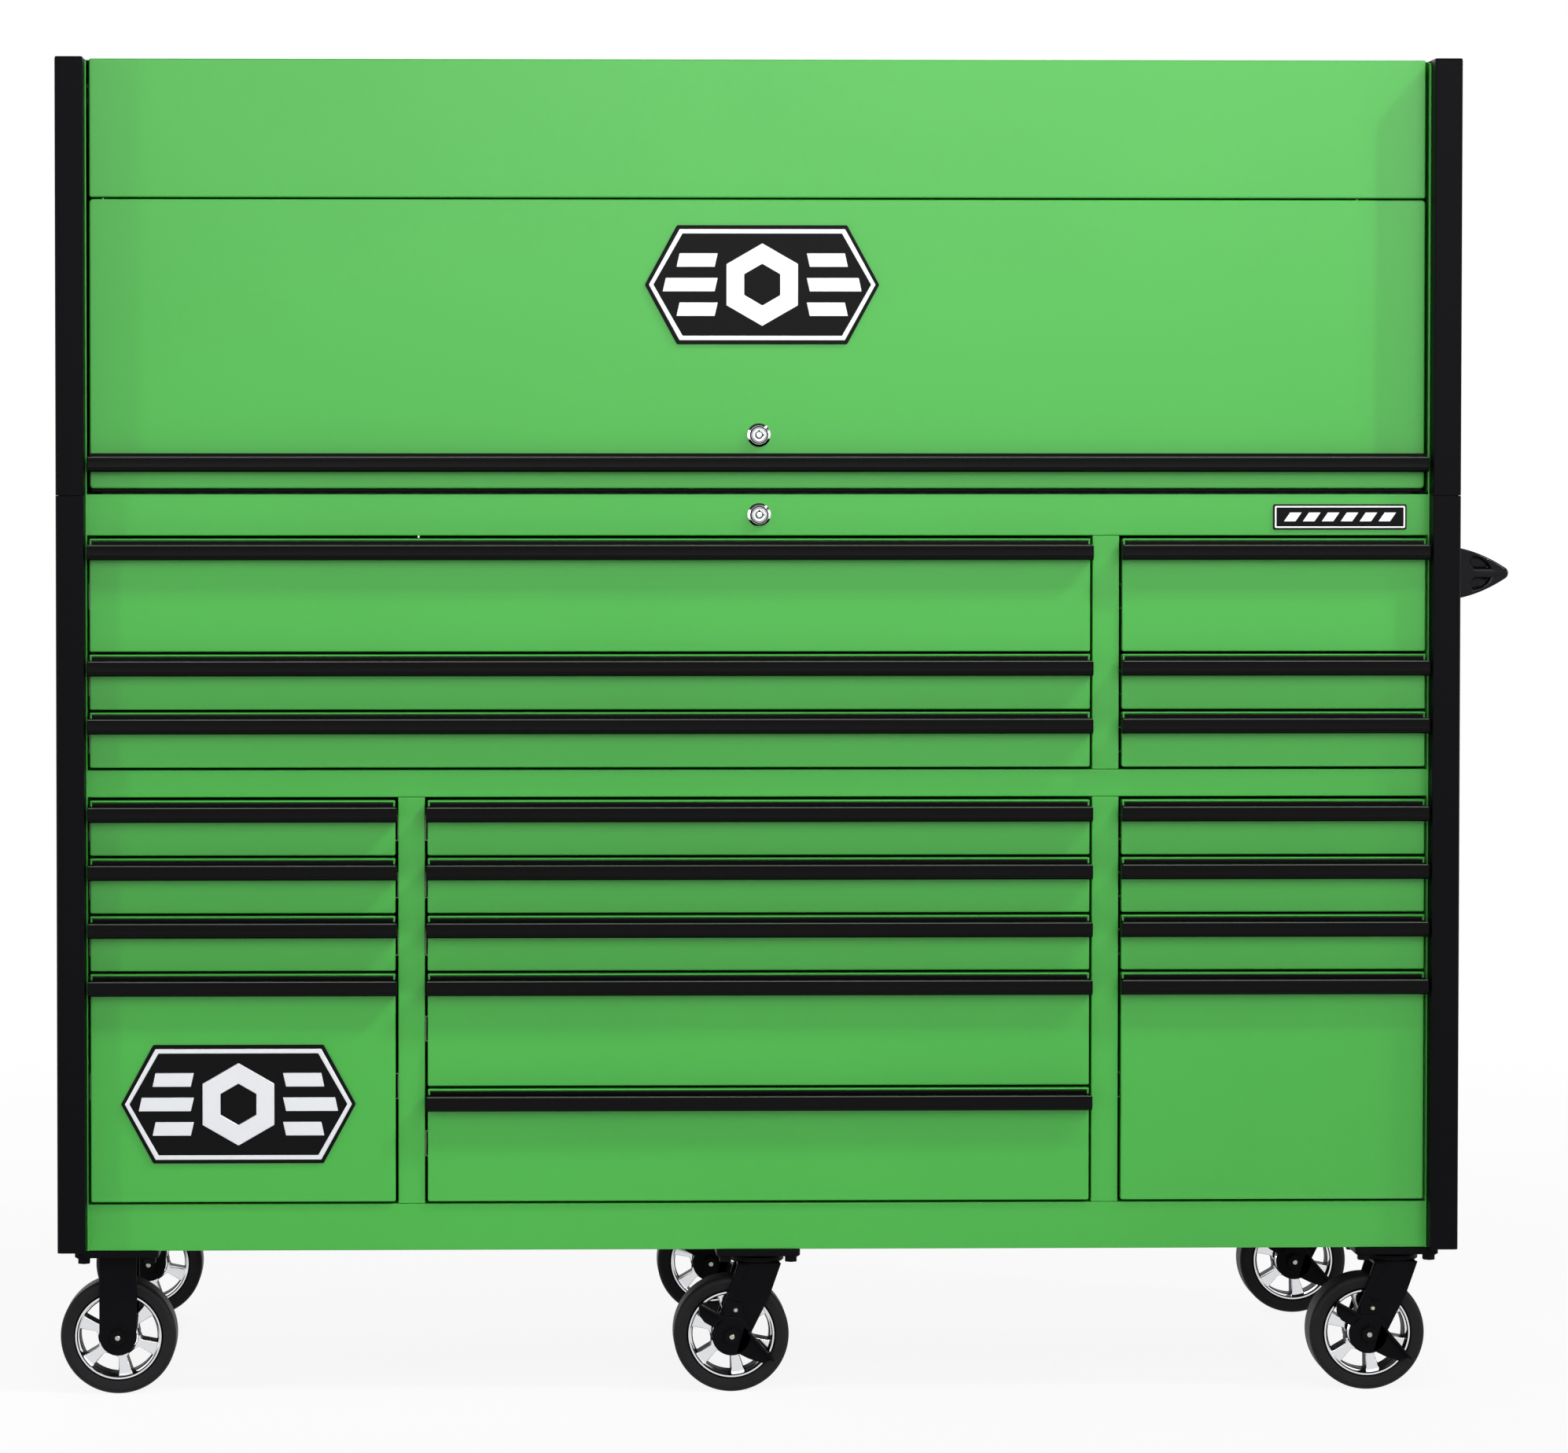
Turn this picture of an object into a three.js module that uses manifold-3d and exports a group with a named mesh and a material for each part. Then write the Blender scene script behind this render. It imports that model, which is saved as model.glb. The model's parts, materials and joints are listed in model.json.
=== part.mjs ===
// A 72-inch steel roller cabinet with nineteen drawers on six casters, and the
// hutch that stands on it. Millimetres, +Z up, front towards -Y, floor at z = 0.
import * as THREE from 'three';
import { mergeVertices } from 'three/addons/utils/BufferGeometryUtils.js';
import Module from 'manifold-3d';

const wasm = await Module();
wasm.setup();

// ---- driving dimensions ----
const WIDTH = 1829;            // over the corner guards
const DEPTH = 762;
const CABINET_BOTTOM = 193;
const CABINET_TOP = 1181.8;
const HUTCH_TOP = 1748.5;
const SHEET = 1.5;             // steel sheet of the casings
const LID_SHEET = 1.8;
const BASE_SHEET = 2;
const GAP = 0.3;               // between pieces that touch
const CLEAR = 3.5;             // around each drawer face

const GUARD_WIDTH = 36.5;
const GUARD_RETURN = 60;
const GUARD_SHEET = 3;
const GUARD_SEAM = 1180;

const FRAME_SETBACK = 28;      // face frame behind the guards' front
const FRAME_DEPTH = 25;
const FRAME_HALF = 876;        // half width of the frame's opening
const BOTTOM_RAIL_TOP = 254;
const MID_RAIL = [786.5, 821.9];
const TOP_RAIL_BOTTOM = 1127.9;
const DIVIDER_X = 453.7;
const DIVIDER_WIDTH = 35;

const DRAWER_PITCH = 75.5;     // one small drawer with its gap
const FACE_PROUD = 5;          // drawer face in front of the frame
const FACE_RETURN = 14;
const TRAY_SHEET = 1.2;
const TRAY_BACK = 342;
const SLIDE_ROOM = 13;         // between a tray and the wall beside it
const SLIDE_HEIGHT = 35;
const INNER_SLIDE = 5.5;
const OUTER_SLIDE = 6.8;

const PULL_HEIGHT = 20.5;
const PULL_REACH = 23;
const PULL_WALL = 2.2;
const PULL_DROP = 7.5;         // from the top of a face to the top of its pull
const PULL_OVERHANG = 2;

const HUTCH_SETBACK = 36;      // door and valance behind the guards' front
const DOOR_HALF = 872.5;
const DOOR_BOTTOM = 1187.7;
const DOOR_TOP = 1566;
const DOOR_DEPTH = 20;
const DOOR_PULL_TOP = 1231;
const VALANCE_BOTTOM = 1568.5;
const STRUT_X = 840;
const STRUT_REACH = 230;       // door pivot below the hinge
const STRUT_STANDOFF = 44;     // door pivot behind the door's face
const STRUT_FIXED = [-290, 1540];

const HANDLE_REACH = 997;      // nose of the handle brackets from the middle
const HANDLE_Z = 1077;
const HANDLE_BAR_X = 968;
const HANDLE_Y = 281;

const WHEEL_RADIUS = 76;
const WHEEL_WIDTH = 50;
const WHEEL_SIDES = 24;
const CASTER_SIDE_INSET = 75;
const CASTER_END_INSET = 80;
const CASTER_TRAIL = 34;
const FORK_GAP = 27;           // from the wheel's middle to a fork leg
const FORK_SHEET = 4;
const PLATE_HALF = 55;
const PLATE_SHEET = 9;
const AXLE_RADIUS = 6;
const LOCK_RADIUS = 15.5;
const LOCK_X = 0;

// ---- levels and planes that follow from them ----
const HALF = WIDTH / 2;
const FRONT = -DEPTH / 2;
const BACK = DEPTH / 2;
const FRAME_FRONT = FRONT + FRAME_SETBACK;
const FRAME_BACK = FRAME_FRONT + FRAME_DEPTH;
const FACE_FRONT = FRAME_FRONT - FACE_PROUD;
const SKIN = HALF - 3.5;       // outer face of the side panels
const DOOR_FRONT = FRONT + HUTCH_SETBACK;
const DOOR_BACK = DOOR_FRONT + DOOR_DEPTH;
const HINGE = [DOOR_FRONT - 0.5, DOOR_TOP + 1.2];
const CASTER_Y = BACK - CASTER_END_INSET;
const CASTER_X = HALF - CASTER_SIDE_INSET;
const LOWER_ROW = BOTTOM_RAIL_TOP + CLEAR;
const UPPER_ROW = MID_RAIL[1] + CLEAR;
const HUTCH_FLOOR_TOP = CABINET_TOP + GAP + 2;
const STILE_FRONT = FRONT + GUARD_RETURN + GAP;
const MOUTH_HALF = DOOR_HALF - 15;   // half width of the hutch's mouth behind the door
const PLATE_TOP = CABINET_BOTTOM - GAP;
const REAR = BACK - GAP;             // outer faces of the cabinet's and hutch's backs
const INSIDE_REAR = REAR - SHEET - GAP;
const CASING_TOP = CABINET_TOP - LID_SHEET - GAP;
const FLOOR_TOP = CABINET_BOTTOM + BASE_SHEET;

// ---- colours and finishes ----
const finish = (color, roughness, metalness) => () =>
  new THREE.MeshStandardMaterial({ color, roughness, metalness });
const greenPowderCoat = finish('#4bb14c', 0.42, 0.0);
const blackPowderCoat = finish('#1a181c', 0.45, 0.0);
const anodisedAluminium = finish('#1c1b1e', 0.3, 0.6);
const chrome = finish('#d9dadd', 0.08, 1.0);
const wheelRubber = finish('#2a292b', 0.6, 0.0);

// ---- solids ----
const GRID = 1024;             // steps in a millimetre

// A closed geometry becomes a manifold once its shared vertices are merged. They
// are put on a fine grid first, so that faces meant to share a plane do.
function solid(geometry) {
  const bare = geometry.clone();
  bare.deleteAttribute('normal');
  bare.deleteAttribute('uv');
  const merged = mergeVertices(bare, 1e-4);
  return new wasm.Manifold(new wasm.Mesh({
    numProp: 3,
    vertProperties: Float32Array.from(merged.attributes.position.array, (v) => Math.round(v * GRID) / GRID),
    triVerts: new Uint32Array(merged.index.array),
  }));
}

const union = (...pieces) => pieces.flat().reduce((whole, piece) => whole.add(piece));
const cut = (whole, ...pieces) => pieces.flat().reduce((rest, piece) => rest.subtract(piece), whole);

function block([x0, x1], [y0, y1], [z0, z1]) {
  const geometry = new THREE.BoxGeometry(x1 - x0, y1 - y0, z1 - z0);
  return solid(geometry.translate((x0 + x1) / 2, (y0 + y1) / 2, (z0 + z1) / 2));
}

// Each outline's own two axes, and the way it is extruded, for each row axis.
const OUTLINE_AXES = {
  x: [[0, 1, 0], [0, 0, 1], [1, 0, 0]],
  y: [[-1, 0, 0], [0, 0, 1], [0, 1, 0]],
  z: [[1, 0, 0], [0, 1, 0], [0, 0, 1]],
};

// Extrudes a closed outline along an axis: (y, z) outlines along x, (x, z) along y, (x, y) along z.
function prism(axis, outline, [from, to], curveSegments = 3) {
  const points = outline.getPoints(curveSegments).map((p) => (axis === 'y' ? p.set(-p.x, p.y) : p));
  const shape = new THREE.Shape(points);
  const geometry = new THREE.ExtrudeGeometry(shape, { depth: to - from, bevelEnabled: false });
  const [u, v, w] = OUTLINE_AXES[axis].map((a) => new THREE.Vector3(...a));
  return solid(geometry.translate(0, 0, from).applyMatrix4(new THREE.Matrix4().makeBasis(u, v, w)));
}

function outline(points) {
  const path = new THREE.Path();
  points.forEach(([u, v], i) => (i ? path.lineTo(u, v) : path.moveTo(u, v)));
  return path.closePath();
}

// A round bar along an axis, centred on the other two coordinates.
function rod(axis, radius, [from, to], [a, b], sides = 16) {
  const geometry = new THREE.CylinderGeometry(radius, radius, to - from, sides);
  const middle = (from + to) / 2;
  if (axis === 'x') geometry.rotateZ(-Math.PI / 2).translate(middle, a, b);
  if (axis === 'y') geometry.translate(a, middle, b);
  if (axis === 'z') geometry.rotateX(Math.PI / 2).translate(a, b, middle);
  return solid(geometry);
}

const mirrorX = (piece) => piece.mirror([1, 0, 0]);

const chest = new THREE.Group();
chest.position.x = -(HANDLE_REACH - HALF) / 2;

function add(name, piece, material, place = [0, 0, 0]) {
  const { vertProperties, triVerts } = piece.getMesh();
  const geometry = new THREE.BufferGeometry();
  geometry.setAttribute('position', new THREE.BufferAttribute(vertProperties, 3));
  geometry.setIndex(new THREE.BufferAttribute(triVerts, 1));
  const mesh = new THREE.Mesh(geometry, material());
  mesh.name = name;
  mesh.position.set(...place);
  chest.add(mesh);
}

// ---- the drawers' places ----
// Each bank: the wall on its left, the wall on its right, its row's bottom and
// how many pitches high each drawer is, from the bottom up.
const DIVIDER_EDGE = DIVIDER_X - DIVIDER_WIDTH / 2;
const DIVIDER_FAR = DIVIDER_X + DIVIDER_WIDTH / 2;
const BANKS = [
  ['left', -FRAME_HALF, -DIVIDER_FAR, LOWER_ROW, [4, 1, 1, 1]],
  ['centre', -DIVIDER_EDGE, DIVIDER_EDGE, LOWER_ROW, [2, 2, 1, 1, 1]],
  ['right', DIVIDER_FAR, FRAME_HALF, LOWER_ROW, [4, 1, 1, 1]],
  ['upper_wide', -FRAME_HALF, DIVIDER_EDGE, UPPER_ROW, [1, 1, 2]],
  ['upper_right', DIVIDER_FAR, FRAME_HALF, UPPER_ROW, [1, 1, 2]],
];

const drawers = BANKS.flatMap(([bank, left, right, bottom, heights]) => {
  let level = bottom;
  return heights.map((pitches, i) => {
    const low = level;
    level += pitches * DRAWER_PITCH;
    const high = level - (DRAWER_PITCH - 72);
    return { name: `drawer_${bank}_${heights.length - i}`, left, right, low, high };
  });
});

const slideMiddle = ({ low, high }) => (low + 3 + high - 8) / 2;

// ---- casing ----
// A double-skinned wall: a C section, open at the rear, with the outer slide
// members of the drawers beside it on one or both skins.
function wall([x0, x1], [y0, y1], [z0, z1]) {
  const outer = block([x0, x1], [y0, y1], [z0, z1]);
  const inside = block([x0 + SHEET, x1 - SHEET], [y0 + SHEET, y1 + 1], [z0 - 1, z1 + 1]);
  const rails = drawers.flatMap((drawer) => {
    const z = slideMiddle(drawer);
    const span = [z - SLIDE_HEIGHT / 2, z + SLIDE_HEIGHT / 2];
    const depth = [FRAME_BACK + 8, TRAY_BACK];
    const found = [];
    if (Math.abs(drawer.left - x1) < 0.01) found.push(block([x1 - SHEET, x1 + OUTER_SLIDE], depth, span));
    if (Math.abs(drawer.right - x0) < 0.01) found.push(block([x0 - OUTER_SLIDE, x0 + SHEET], depth, span));
    return found;
  });
  return union(cut(outer, inside), rails);
}

const wallFront = FRAME_BACK + GAP;
add('cabinet_side_left', wall([-SKIN, -FRAME_HALF], [wallFront, INSIDE_REAR], [CABINET_BOTTOM, CASING_TOP]),
  greenPowderCoat);
add('cabinet_side_right', wall([FRAME_HALF, SKIN], [wallFront, INSIDE_REAR], [CABINET_BOTTOM, CASING_TOP]),
  greenPowderCoat);
const partitionDepth = [wallFront + 2, BACK - 5];
add('partition_left', wall([-DIVIDER_FAR, -DIVIDER_EDGE], partitionDepth, [FLOOR_TOP + GAP, MID_RAIL[1]]),
  greenPowderCoat);
add('partition_right', wall([DIVIDER_EDGE, DIVIDER_FAR], partitionDepth, [FLOOR_TOP + GAP, CABINET_TOP - 31]),
  greenPowderCoat);
add('cabinet_back', block([-SKIN, SKIN], [REAR - SHEET, REAR], [CABINET_BOTTOM, CASING_TOP]),
  greenPowderCoat);
add('cabinet_top', block([-SKIN, SKIN], [wallFront, REAR], [CABINET_TOP - LID_SHEET, CABINET_TOP]),
  greenPowderCoat);

// The face frame is a lattice of channels, open at the back.
function faceFrame() {
  const lattice = (inset, [y0, y1]) => {
    const bar = ([x0, x1], [z0, z1]) => block([x0 + inset, x1 - inset], [y0, y1], [z0 + inset, z1 - inset]);
    const half = SKIN - 1;
    return union(
      bar([-half, half], [CABINET_BOTTOM, BOTTOM_RAIL_TOP]),
      bar([-half, half], MID_RAIL),
      bar([-half, half], [TOP_RAIL_BOTTOM, CABINET_TOP]),
      bar([-half, -FRAME_HALF], [CABINET_BOTTOM, CABINET_TOP]),
      bar([FRAME_HALF, half], [CABINET_BOTTOM, CABINET_TOP]),
      bar([-DIVIDER_FAR, -DIVIDER_EDGE], [CABINET_BOTTOM, MID_RAIL[1]]),
      bar([DIVIDER_EDGE, DIVIDER_FAR], [CABINET_BOTTOM, CABINET_TOP]),
    );
  };
  const channels = cut(
    lattice(0, [FRAME_FRONT, FRAME_BACK]),
    lattice(SHEET, [FRAME_FRONT + SHEET, FRAME_BACK + 1]),
  );
  const lockZ = (TOP_RAIL_BOTTOM + CABINET_TOP) / 2;
  return cut(channels, rod('y', LOCK_RADIUS - 4, [FRAME_FRONT - 1, FRAME_FRONT + 5], [LOCK_X, lockZ]));
}
add('face_frame', faceFrame(), greenPowderCoat);

// The base is an open tray that carries the casters' top plates and kingpins.
function cabinetBase() {
  const half = FRAME_HALF - 0.5;
  const tray = cut(
    block([-half, half], [wallFront, INSIDE_REAR], [CABINET_BOTTOM, BOTTOM_RAIL_TOP - 3]),
    block([BASE_SHEET - half, half - BASE_SHEET], [wallFront + SHEET, INSIDE_REAR - SHEET],
      [FLOOR_TOP, BOTTOM_RAIL_TOP]),
  );
  const mounts = [0, CASTER_X].flatMap((x) => [-CASTER_Y, CASTER_Y].flatMap((y) => {
    const plate = block([x - PLATE_HALF, x + PLATE_HALF], [y - PLATE_HALF, y + PLATE_HALF],
      [PLATE_TOP - PLATE_SHEET, PLATE_TOP]);
    const kingpin = rod('z', 8, [159, FLOOR_TOP - 0.5], [x, y], 8);
    const nut = rod('z', 13, [158.5, 162.5], [x, y], 6);
    return [plate, kingpin, nut];
  }));
  return union(tray, mounts);
}
add('cabinet_base', cabinetBase(), blackPowderCoat);

// ---- corner guards ----
// A black J section over each front corner, in two lengths that meet at the seam.
function guardOutline() {
  const path = new THREE.Path();
  const inner = HALF - GUARD_WIDTH;
  const r = 5;
  const s = GUARD_SHEET;
  path.moveTo(inner, FRAME_FRONT - GAP);
  path.lineTo(inner, FRONT);
  path.lineTo(HALF - r, FRONT);
  path.absarc(HALF - r, FRONT + r, r, -Math.PI / 2, 0, false);
  path.lineTo(HALF, FRONT + GUARD_RETURN);
  path.lineTo(HALF - s, FRONT + GUARD_RETURN);
  path.lineTo(HALF - s, FRONT + s);
  path.lineTo(inner + s, FRONT + s);
  path.lineTo(inner + s, FRAME_FRONT - GAP);
  return path.closePath();
}

function guard([z0, z1], capped) {
  const section = prism('z', guardOutline(), [z0, z1]);
  const cap = block([HALF - GUARD_WIDTH + 1, HALF - 1], [FRONT + 1, FRONT + GUARD_RETURN],
    [z1 - GUARD_SHEET, z1]);
  return capped ? union(section, cap) : section;
}

const guards = {
  cabinet_guard: guard([CABINET_BOTTOM + 1, GUARD_SEAM - 0.2], false),
  hutch_guard: guard([GUARD_SEAM + 0.2, HUTCH_TOP], true),
};
for (const [name, piece] of Object.entries(guards)) {
  add(`${name}_left`, mirrorX(piece), blackPowderCoat);
  add(`${name}_right`, piece, blackPowderCoat);
}

// ---- hutch ----
function hutchShell() {
  const bottom = HUTCH_FLOOR_TOP + GAP;
  const casing = cut(
    block([-SKIN, SKIN], [STILE_FRONT, REAR], [bottom, HUTCH_TOP]),
    block([SHEET - SKIN, SKIN - SHEET], [STILE_FRONT + SHEET, REAR - SHEET], [bottom - 1, HUTCH_TOP - SHEET]),
    block([-MOUTH_HALF, MOUTH_HALF], [STILE_FRONT - 1, STILE_FRONT + 3], [bottom - 1, HUTCH_TOP - SHEET]),
  );
  const hood = cut(
    block([-DOOR_HALF, DOOR_HALF], [DOOR_FRONT, STILE_FRONT + 1], [VALANCE_BOTTOM, HUTCH_TOP]),
    block([-DOOR_HALF - 1, DOOR_HALF + 1], [DOOR_FRONT + SHEET, STILE_FRONT + 2],
      [VALANCE_BOTTOM + SHEET, HUTCH_TOP - SHEET]),
  );
  const bracket = block([STRUT_X + 14, SKIN - 0.5], [STRUT_FIXED[0] - 9, STRUT_FIXED[0] + 9],
    [STRUT_FIXED[1] - 9, STRUT_FIXED[1] + 9]);
  return union(casing, hood, bracket, mirrorX(bracket));
}
add('hutch_shell', hutchShell(), greenPowderCoat);

// The floor fills the case, and its front strip stops short of the mouth's two stiles.
function hutchFloor() {
  const level = [CABINET_TOP + GAP, HUTCH_FLOOR_TOP];
  const inCase = block([-SKIN + 2, SKIN - 2], [STILE_FRONT + 2, BACK - 3], level);
  const strip = block([1 - MOUTH_HALF, MOUTH_HALF - 1], [DOOR_FRONT + 3, STILE_FRONT + 3], level);
  return union(inCase, strip);
}
add('hutch_floor', hutchFloor(), blackPowderCoat);

// A J section: up from the finger channel's floor, open at the top.
function pullOutline(front, top) {
  const path = new THREE.Path();
  const r = 6;
  const back = front + PULL_REACH;
  const low = top - PULL_HEIGHT;
  path.moveTo(back, low);
  path.lineTo(back, low + PULL_WALL);
  path.lineTo(front + r, low + PULL_WALL);
  path.lineTo(front + PULL_WALL, low + r);
  path.lineTo(front + PULL_WALL, top);
  path.lineTo(front, top);
  path.lineTo(front, low + r);
  path.absarc(front + r, low + r, r, Math.PI, Math.PI * 1.5, false);
  return path.closePath();
}

const lockOnDoorZ = 1259;

function hutchDoor() {
  const skin = block([-DOOR_HALF, DOOR_HALF], [DOOR_FRONT, DOOR_BACK], [DOOR_BOTTOM, DOOR_TOP]);
  const inside = block([-DOOR_HALF + SHEET, DOOR_HALF - SHEET], [DOOR_FRONT + SHEET, DOOR_BACK + 1],
    [DOOR_BOTTOM + SHEET, DOOR_TOP - SHEET]);
  const hole = rod('y', LOCK_RADIUS - 4, [DOOR_FRONT - 1, DOOR_FRONT + 5], [LOCK_X, lockOnDoorZ]);
  const tabZ = HINGE[1] - STRUT_REACH;
  const tab = block([STRUT_X + 7, STRUT_X + 10], [DOOR_FRONT, DOOR_FRONT + STRUT_STANDOFF + 8],
    [tabZ - 10, tabZ + 10]);
  return union(cut(skin, inside, hole), tab, mirrorX(tab));
}
add('hutch_door', hutchDoor(), greenPowderCoat);
add('door_pull', prism('x', pullOutline(DOOR_FRONT - PULL_REACH - GAP, DOOR_PULL_TOP),
  [-DOOR_HALF - PULL_OVERHANG, DOOR_HALF + PULL_OVERHANG]), anodisedAluminium);

// ---- gas struts ----
// Each cylinder turns on the shell's bracket, and its rod ends at the door's tab.
const doorPivot = [DOOR_FRONT - 0.5 + STRUT_STANDOFF, HINGE[1] - STRUT_REACH];
const strutLine = new THREE.Vector2(doorPivot[0] - STRUT_FIXED[0], doorPivot[1] - STRUT_FIXED[1]);
const strutLength = strutLine.length();
const strutTilt = Math.atan2(strutLine.y, strutLine.x);

// The strut is drawn along +Y from its fixed pivot, then turned about X and put in place.
function strut(piece, x) {
  const turned = piece.rotate([THREE.MathUtils.radToDeg(strutTilt), 0, 0]);
  return turned.translate([x, ...STRUT_FIXED]);
}

for (const [side, x] of [['left', -STRUT_X], ['right', STRUT_X]]) {
  const barrel = cut(rod('y', 10, [-12, 108], [0, 0], 12), rod('y', 5.6, [20, 120], [0, 0], 12));
  const eye = rod('x', 8, [-5, 5], [strutLength, 0], 12);
  const piston = union(rod('y', 4.8, [24, strutLength], [0, 0], 12), eye);
  add(`strut_cylinder_${side}`, strut(barrel, x), blackPowderCoat);
  add(`strut_rod_${side}`, strut(piston, x), chrome);
}

// ---- locks ----
// A round chrome lock with a barrel behind its flange and a keyway in its face.
function lock(face, z, length) {
  const flange = rod('y', LOCK_RADIUS, [face - 8, face - GAP], [LOCK_X, z], 16);
  const barrel = rod('y', LOCK_RADIUS - 5, [face - 1, face + length], [LOCK_X, z], 12);
  const keyway = rod('y', 4.5, [face - 9, face - 4], [LOCK_X, z], 8);
  const notch = block([LOCK_X - 1.2, LOCK_X + 1.2], [face - 9, face - 4], [z, z + 6.5]);
  return cut(union(flange, barrel), keyway, notch);
}
add('lock_hutch', lock(DOOR_FRONT, lockOnDoorZ, 17), chrome);
add('lock_cabinet', lock(FRAME_FRONT, (TOP_RAIL_BOTTOM + CABINET_TOP) / 2, 20), chrome);

// ---- push handle ----
// Two finned brackets on the right side panel carry a round bar.
function bracketOutline() {
  const path = new THREE.Path();
  const nose = 11;
  path.moveTo(SKIN + GAP, HANDLE_Z - 35);
  path.quadraticCurveTo(SKIN + 42, HANDLE_Z - 34, HANDLE_REACH - 8, HANDLE_Z - nose);
  path.absarc(HANDLE_REACH - nose, HANDLE_Z, nose, -Math.PI / 3, Math.PI / 3, false);
  path.quadraticCurveTo(SKIN + 42, HANDLE_Z + 34, SKIN + GAP, HANDLE_Z + 36);
  return path.closePath();
}

function handleBracket() {
  const body = prism('y', bracketOutline(), [0, 36], 5);
  const pockets = [-1, 1].map((way) => prism('y', outline([
    [SKIN + 42, HANDLE_Z + way * 5],
    [SKIN + 60, HANDLE_Z + way * 5],
    [SKIN + 54, HANDLE_Z + way * 13],
    [SKIN + 37, HANDLE_Z + way * 19],
  ]), [-1, 14]));
  return cut(body, pockets);
}
const bracket = handleBracket();
add('handle_bracket_front', bracket, blackPowderCoat, [0, -HANDLE_Y, 0]);
add('handle_bracket_rear', bracket.mirror([0, 1, 0]), blackPowderCoat, [0, HANDLE_Y, 0]);
const barEnd = HANDLE_Y - 36 - GAP;
add('push_handle_bar', rod('y', 14, [-barEnd, barEnd], [HANDLE_BAR_X, HANDLE_Z], 20), blackPowderCoat);

// ---- drawers ----
// A folded tray, its returned face, the full-width pull and two inner slide members.
function drawer({ left, right, low, high }) {
  const face = [left + CLEAR, right - CLEAR];
  const tray = [left + SLIDE_ROOM, right - SLIDE_ROOM];
  const [bottom, rim] = [low + 3, high - 8];
  const middle = slideMiddle({ low, high });
  const faceBack = FACE_FRONT + FACE_RETURN;
  const panel = cut(
    block(face, [FACE_FRONT, faceBack], [low, high]),
    block([face[0] + SHEET, face[1] - SHEET], [FACE_FRONT + 3, faceBack + 1], [low + SHEET, high - SHEET]),
  );
  const box = cut(
    block(tray, [FACE_FRONT + 1, TRAY_BACK], [bottom, rim]),
    block([tray[0] + TRAY_SHEET, tray[1] - TRAY_SHEET], [FACE_FRONT + 3, TRAY_BACK - TRAY_SHEET],
      [bottom + TRAY_SHEET, rim + 1]),
  );
  const slideDepth = [FRAME_BACK - 12, TRAY_BACK - 2];
  const slideSpan = [middle - SLIDE_HEIGHT / 2 + 5, middle + SLIDE_HEIGHT / 2 - 5];
  const slides = [
    block([tray[0] - INNER_SLIDE, tray[0] + 0.6], slideDepth, slideSpan),
    block([tray[1] - 0.6, tray[1] + INNER_SLIDE], slideDepth, slideSpan),
  ];
  const pull = prism('x', pullOutline(FACE_FRONT - PULL_REACH + 0.5, high - PULL_DROP),
    [face[0] - PULL_OVERHANG, face[1] + PULL_OVERHANG]);
  return union(panel, box, slides, pull);
}
for (const spec of drawers) add(spec.name, drawer(spec), greenPowderCoat);

// ---- casters ----
// A wheel's section turns about its axle; six windows are cut through its web.
function wheel() {
  const edge = WHEEL_RADIUS / Math.cos(Math.PI / WHEEL_SIDES);
  const half = WHEEL_WIDTH / 2;
  const section = [
    [7, -half + 1], [26, -half + 1], [28, -8], [52, -8], [56, -half], [edge, -half + 8],
    [edge, half - 8], [56, half], [52, 8], [28, 8], [26, half - 1], [7, half - 1], [7, -half + 1],
  ].map(([r, y]) => new THREE.Vector2(r, y));
  const turned = new THREE.LatheGeometry(section, WHEEL_SIDES, Math.PI / WHEEL_SIDES, 2 * Math.PI);
  const windows = [0, 1, 2, 3, 4, 5].map((i) => {
    const window = outline([[-8, 30], [8, 30], [14, 48], [-14, 48]]);
    return prism('y', window, [-half, half]).rotate([0, i * 60 + 10, 0]);
  });
  return cut(solid(turned), windows);
}

// Two legs, one each side of the wheel, with the axle through them.
function legs(leg) {
  const pair = [leg([-FORK_GAP - FORK_SHEET, -FORK_GAP]), leg([FORK_GAP, FORK_GAP + FORK_SHEET])];
  const axle = rod('y', AXLE_RADIUS, [-40, 36], [0, 0], 8);
  const nut = rod('y', 9, [FORK_GAP + FORK_SHEET - 1, 38], [0, 0], 6);
  const head = rod('y', 9, [-44, -37], [0, 0], 6);
  return union(pair, axle, nut, head);
}

// The swivel fork hangs from the kingpin; its axle trails behind it.
function swivelFork() {
  const z = (height) => height - WHEEL_RADIUS;
  const crownTop = PLATE_TOP - PLATE_SHEET - GAP;
  const path = new THREE.Path();
  path.moveTo(CASTER_TRAIL - 28, z(171));
  path.lineTo(-21, 0);
  path.absarc(0, 0, 22, Math.PI, 2 * Math.PI, false);
  path.lineTo(CASTER_TRAIL + 14, z(128));
  path.lineTo(CASTER_TRAIL + 30, z(171));
  path.closePath();
  const frame = legs((span) => prism('y', path, span, 6));
  const width = FORK_GAP + FORK_SHEET;
  const crown = block([CASTER_TRAIL - 28, CASTER_TRAIL + 30], [-width, width], [z(165), z(172)]);
  const race = rod('z', 35, [z(170), z(crownTop)], [CASTER_TRAIL, 0], 16);
  const hole = rod('z', 9.5, [z(160), z(crownTop + 1)], [CASTER_TRAIL, 0], 10);
  return cut(union(frame, crown, race), hole);
}

function rigidFork() {
  const z = (height) => height - WHEEL_RADIUS;
  const path = new THREE.Path();
  path.moveTo(-24.5, z(186));
  path.lineTo(-24.5, 0);
  path.absarc(0, 0, 24.5, Math.PI, 2 * Math.PI, false);
  path.lineTo(24.5, z(186));
  path.closePath();
  const frame = legs((span) => prism('y', path, span, 6));
  const plate = block([-PLATE_HALF, PLATE_HALF], [-PLATE_HALF, PLATE_HALF],
    [z(PLATE_TOP - PLATE_SHEET), z(PLATE_TOP)]);
  return union(frame, plate);
}

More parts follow.
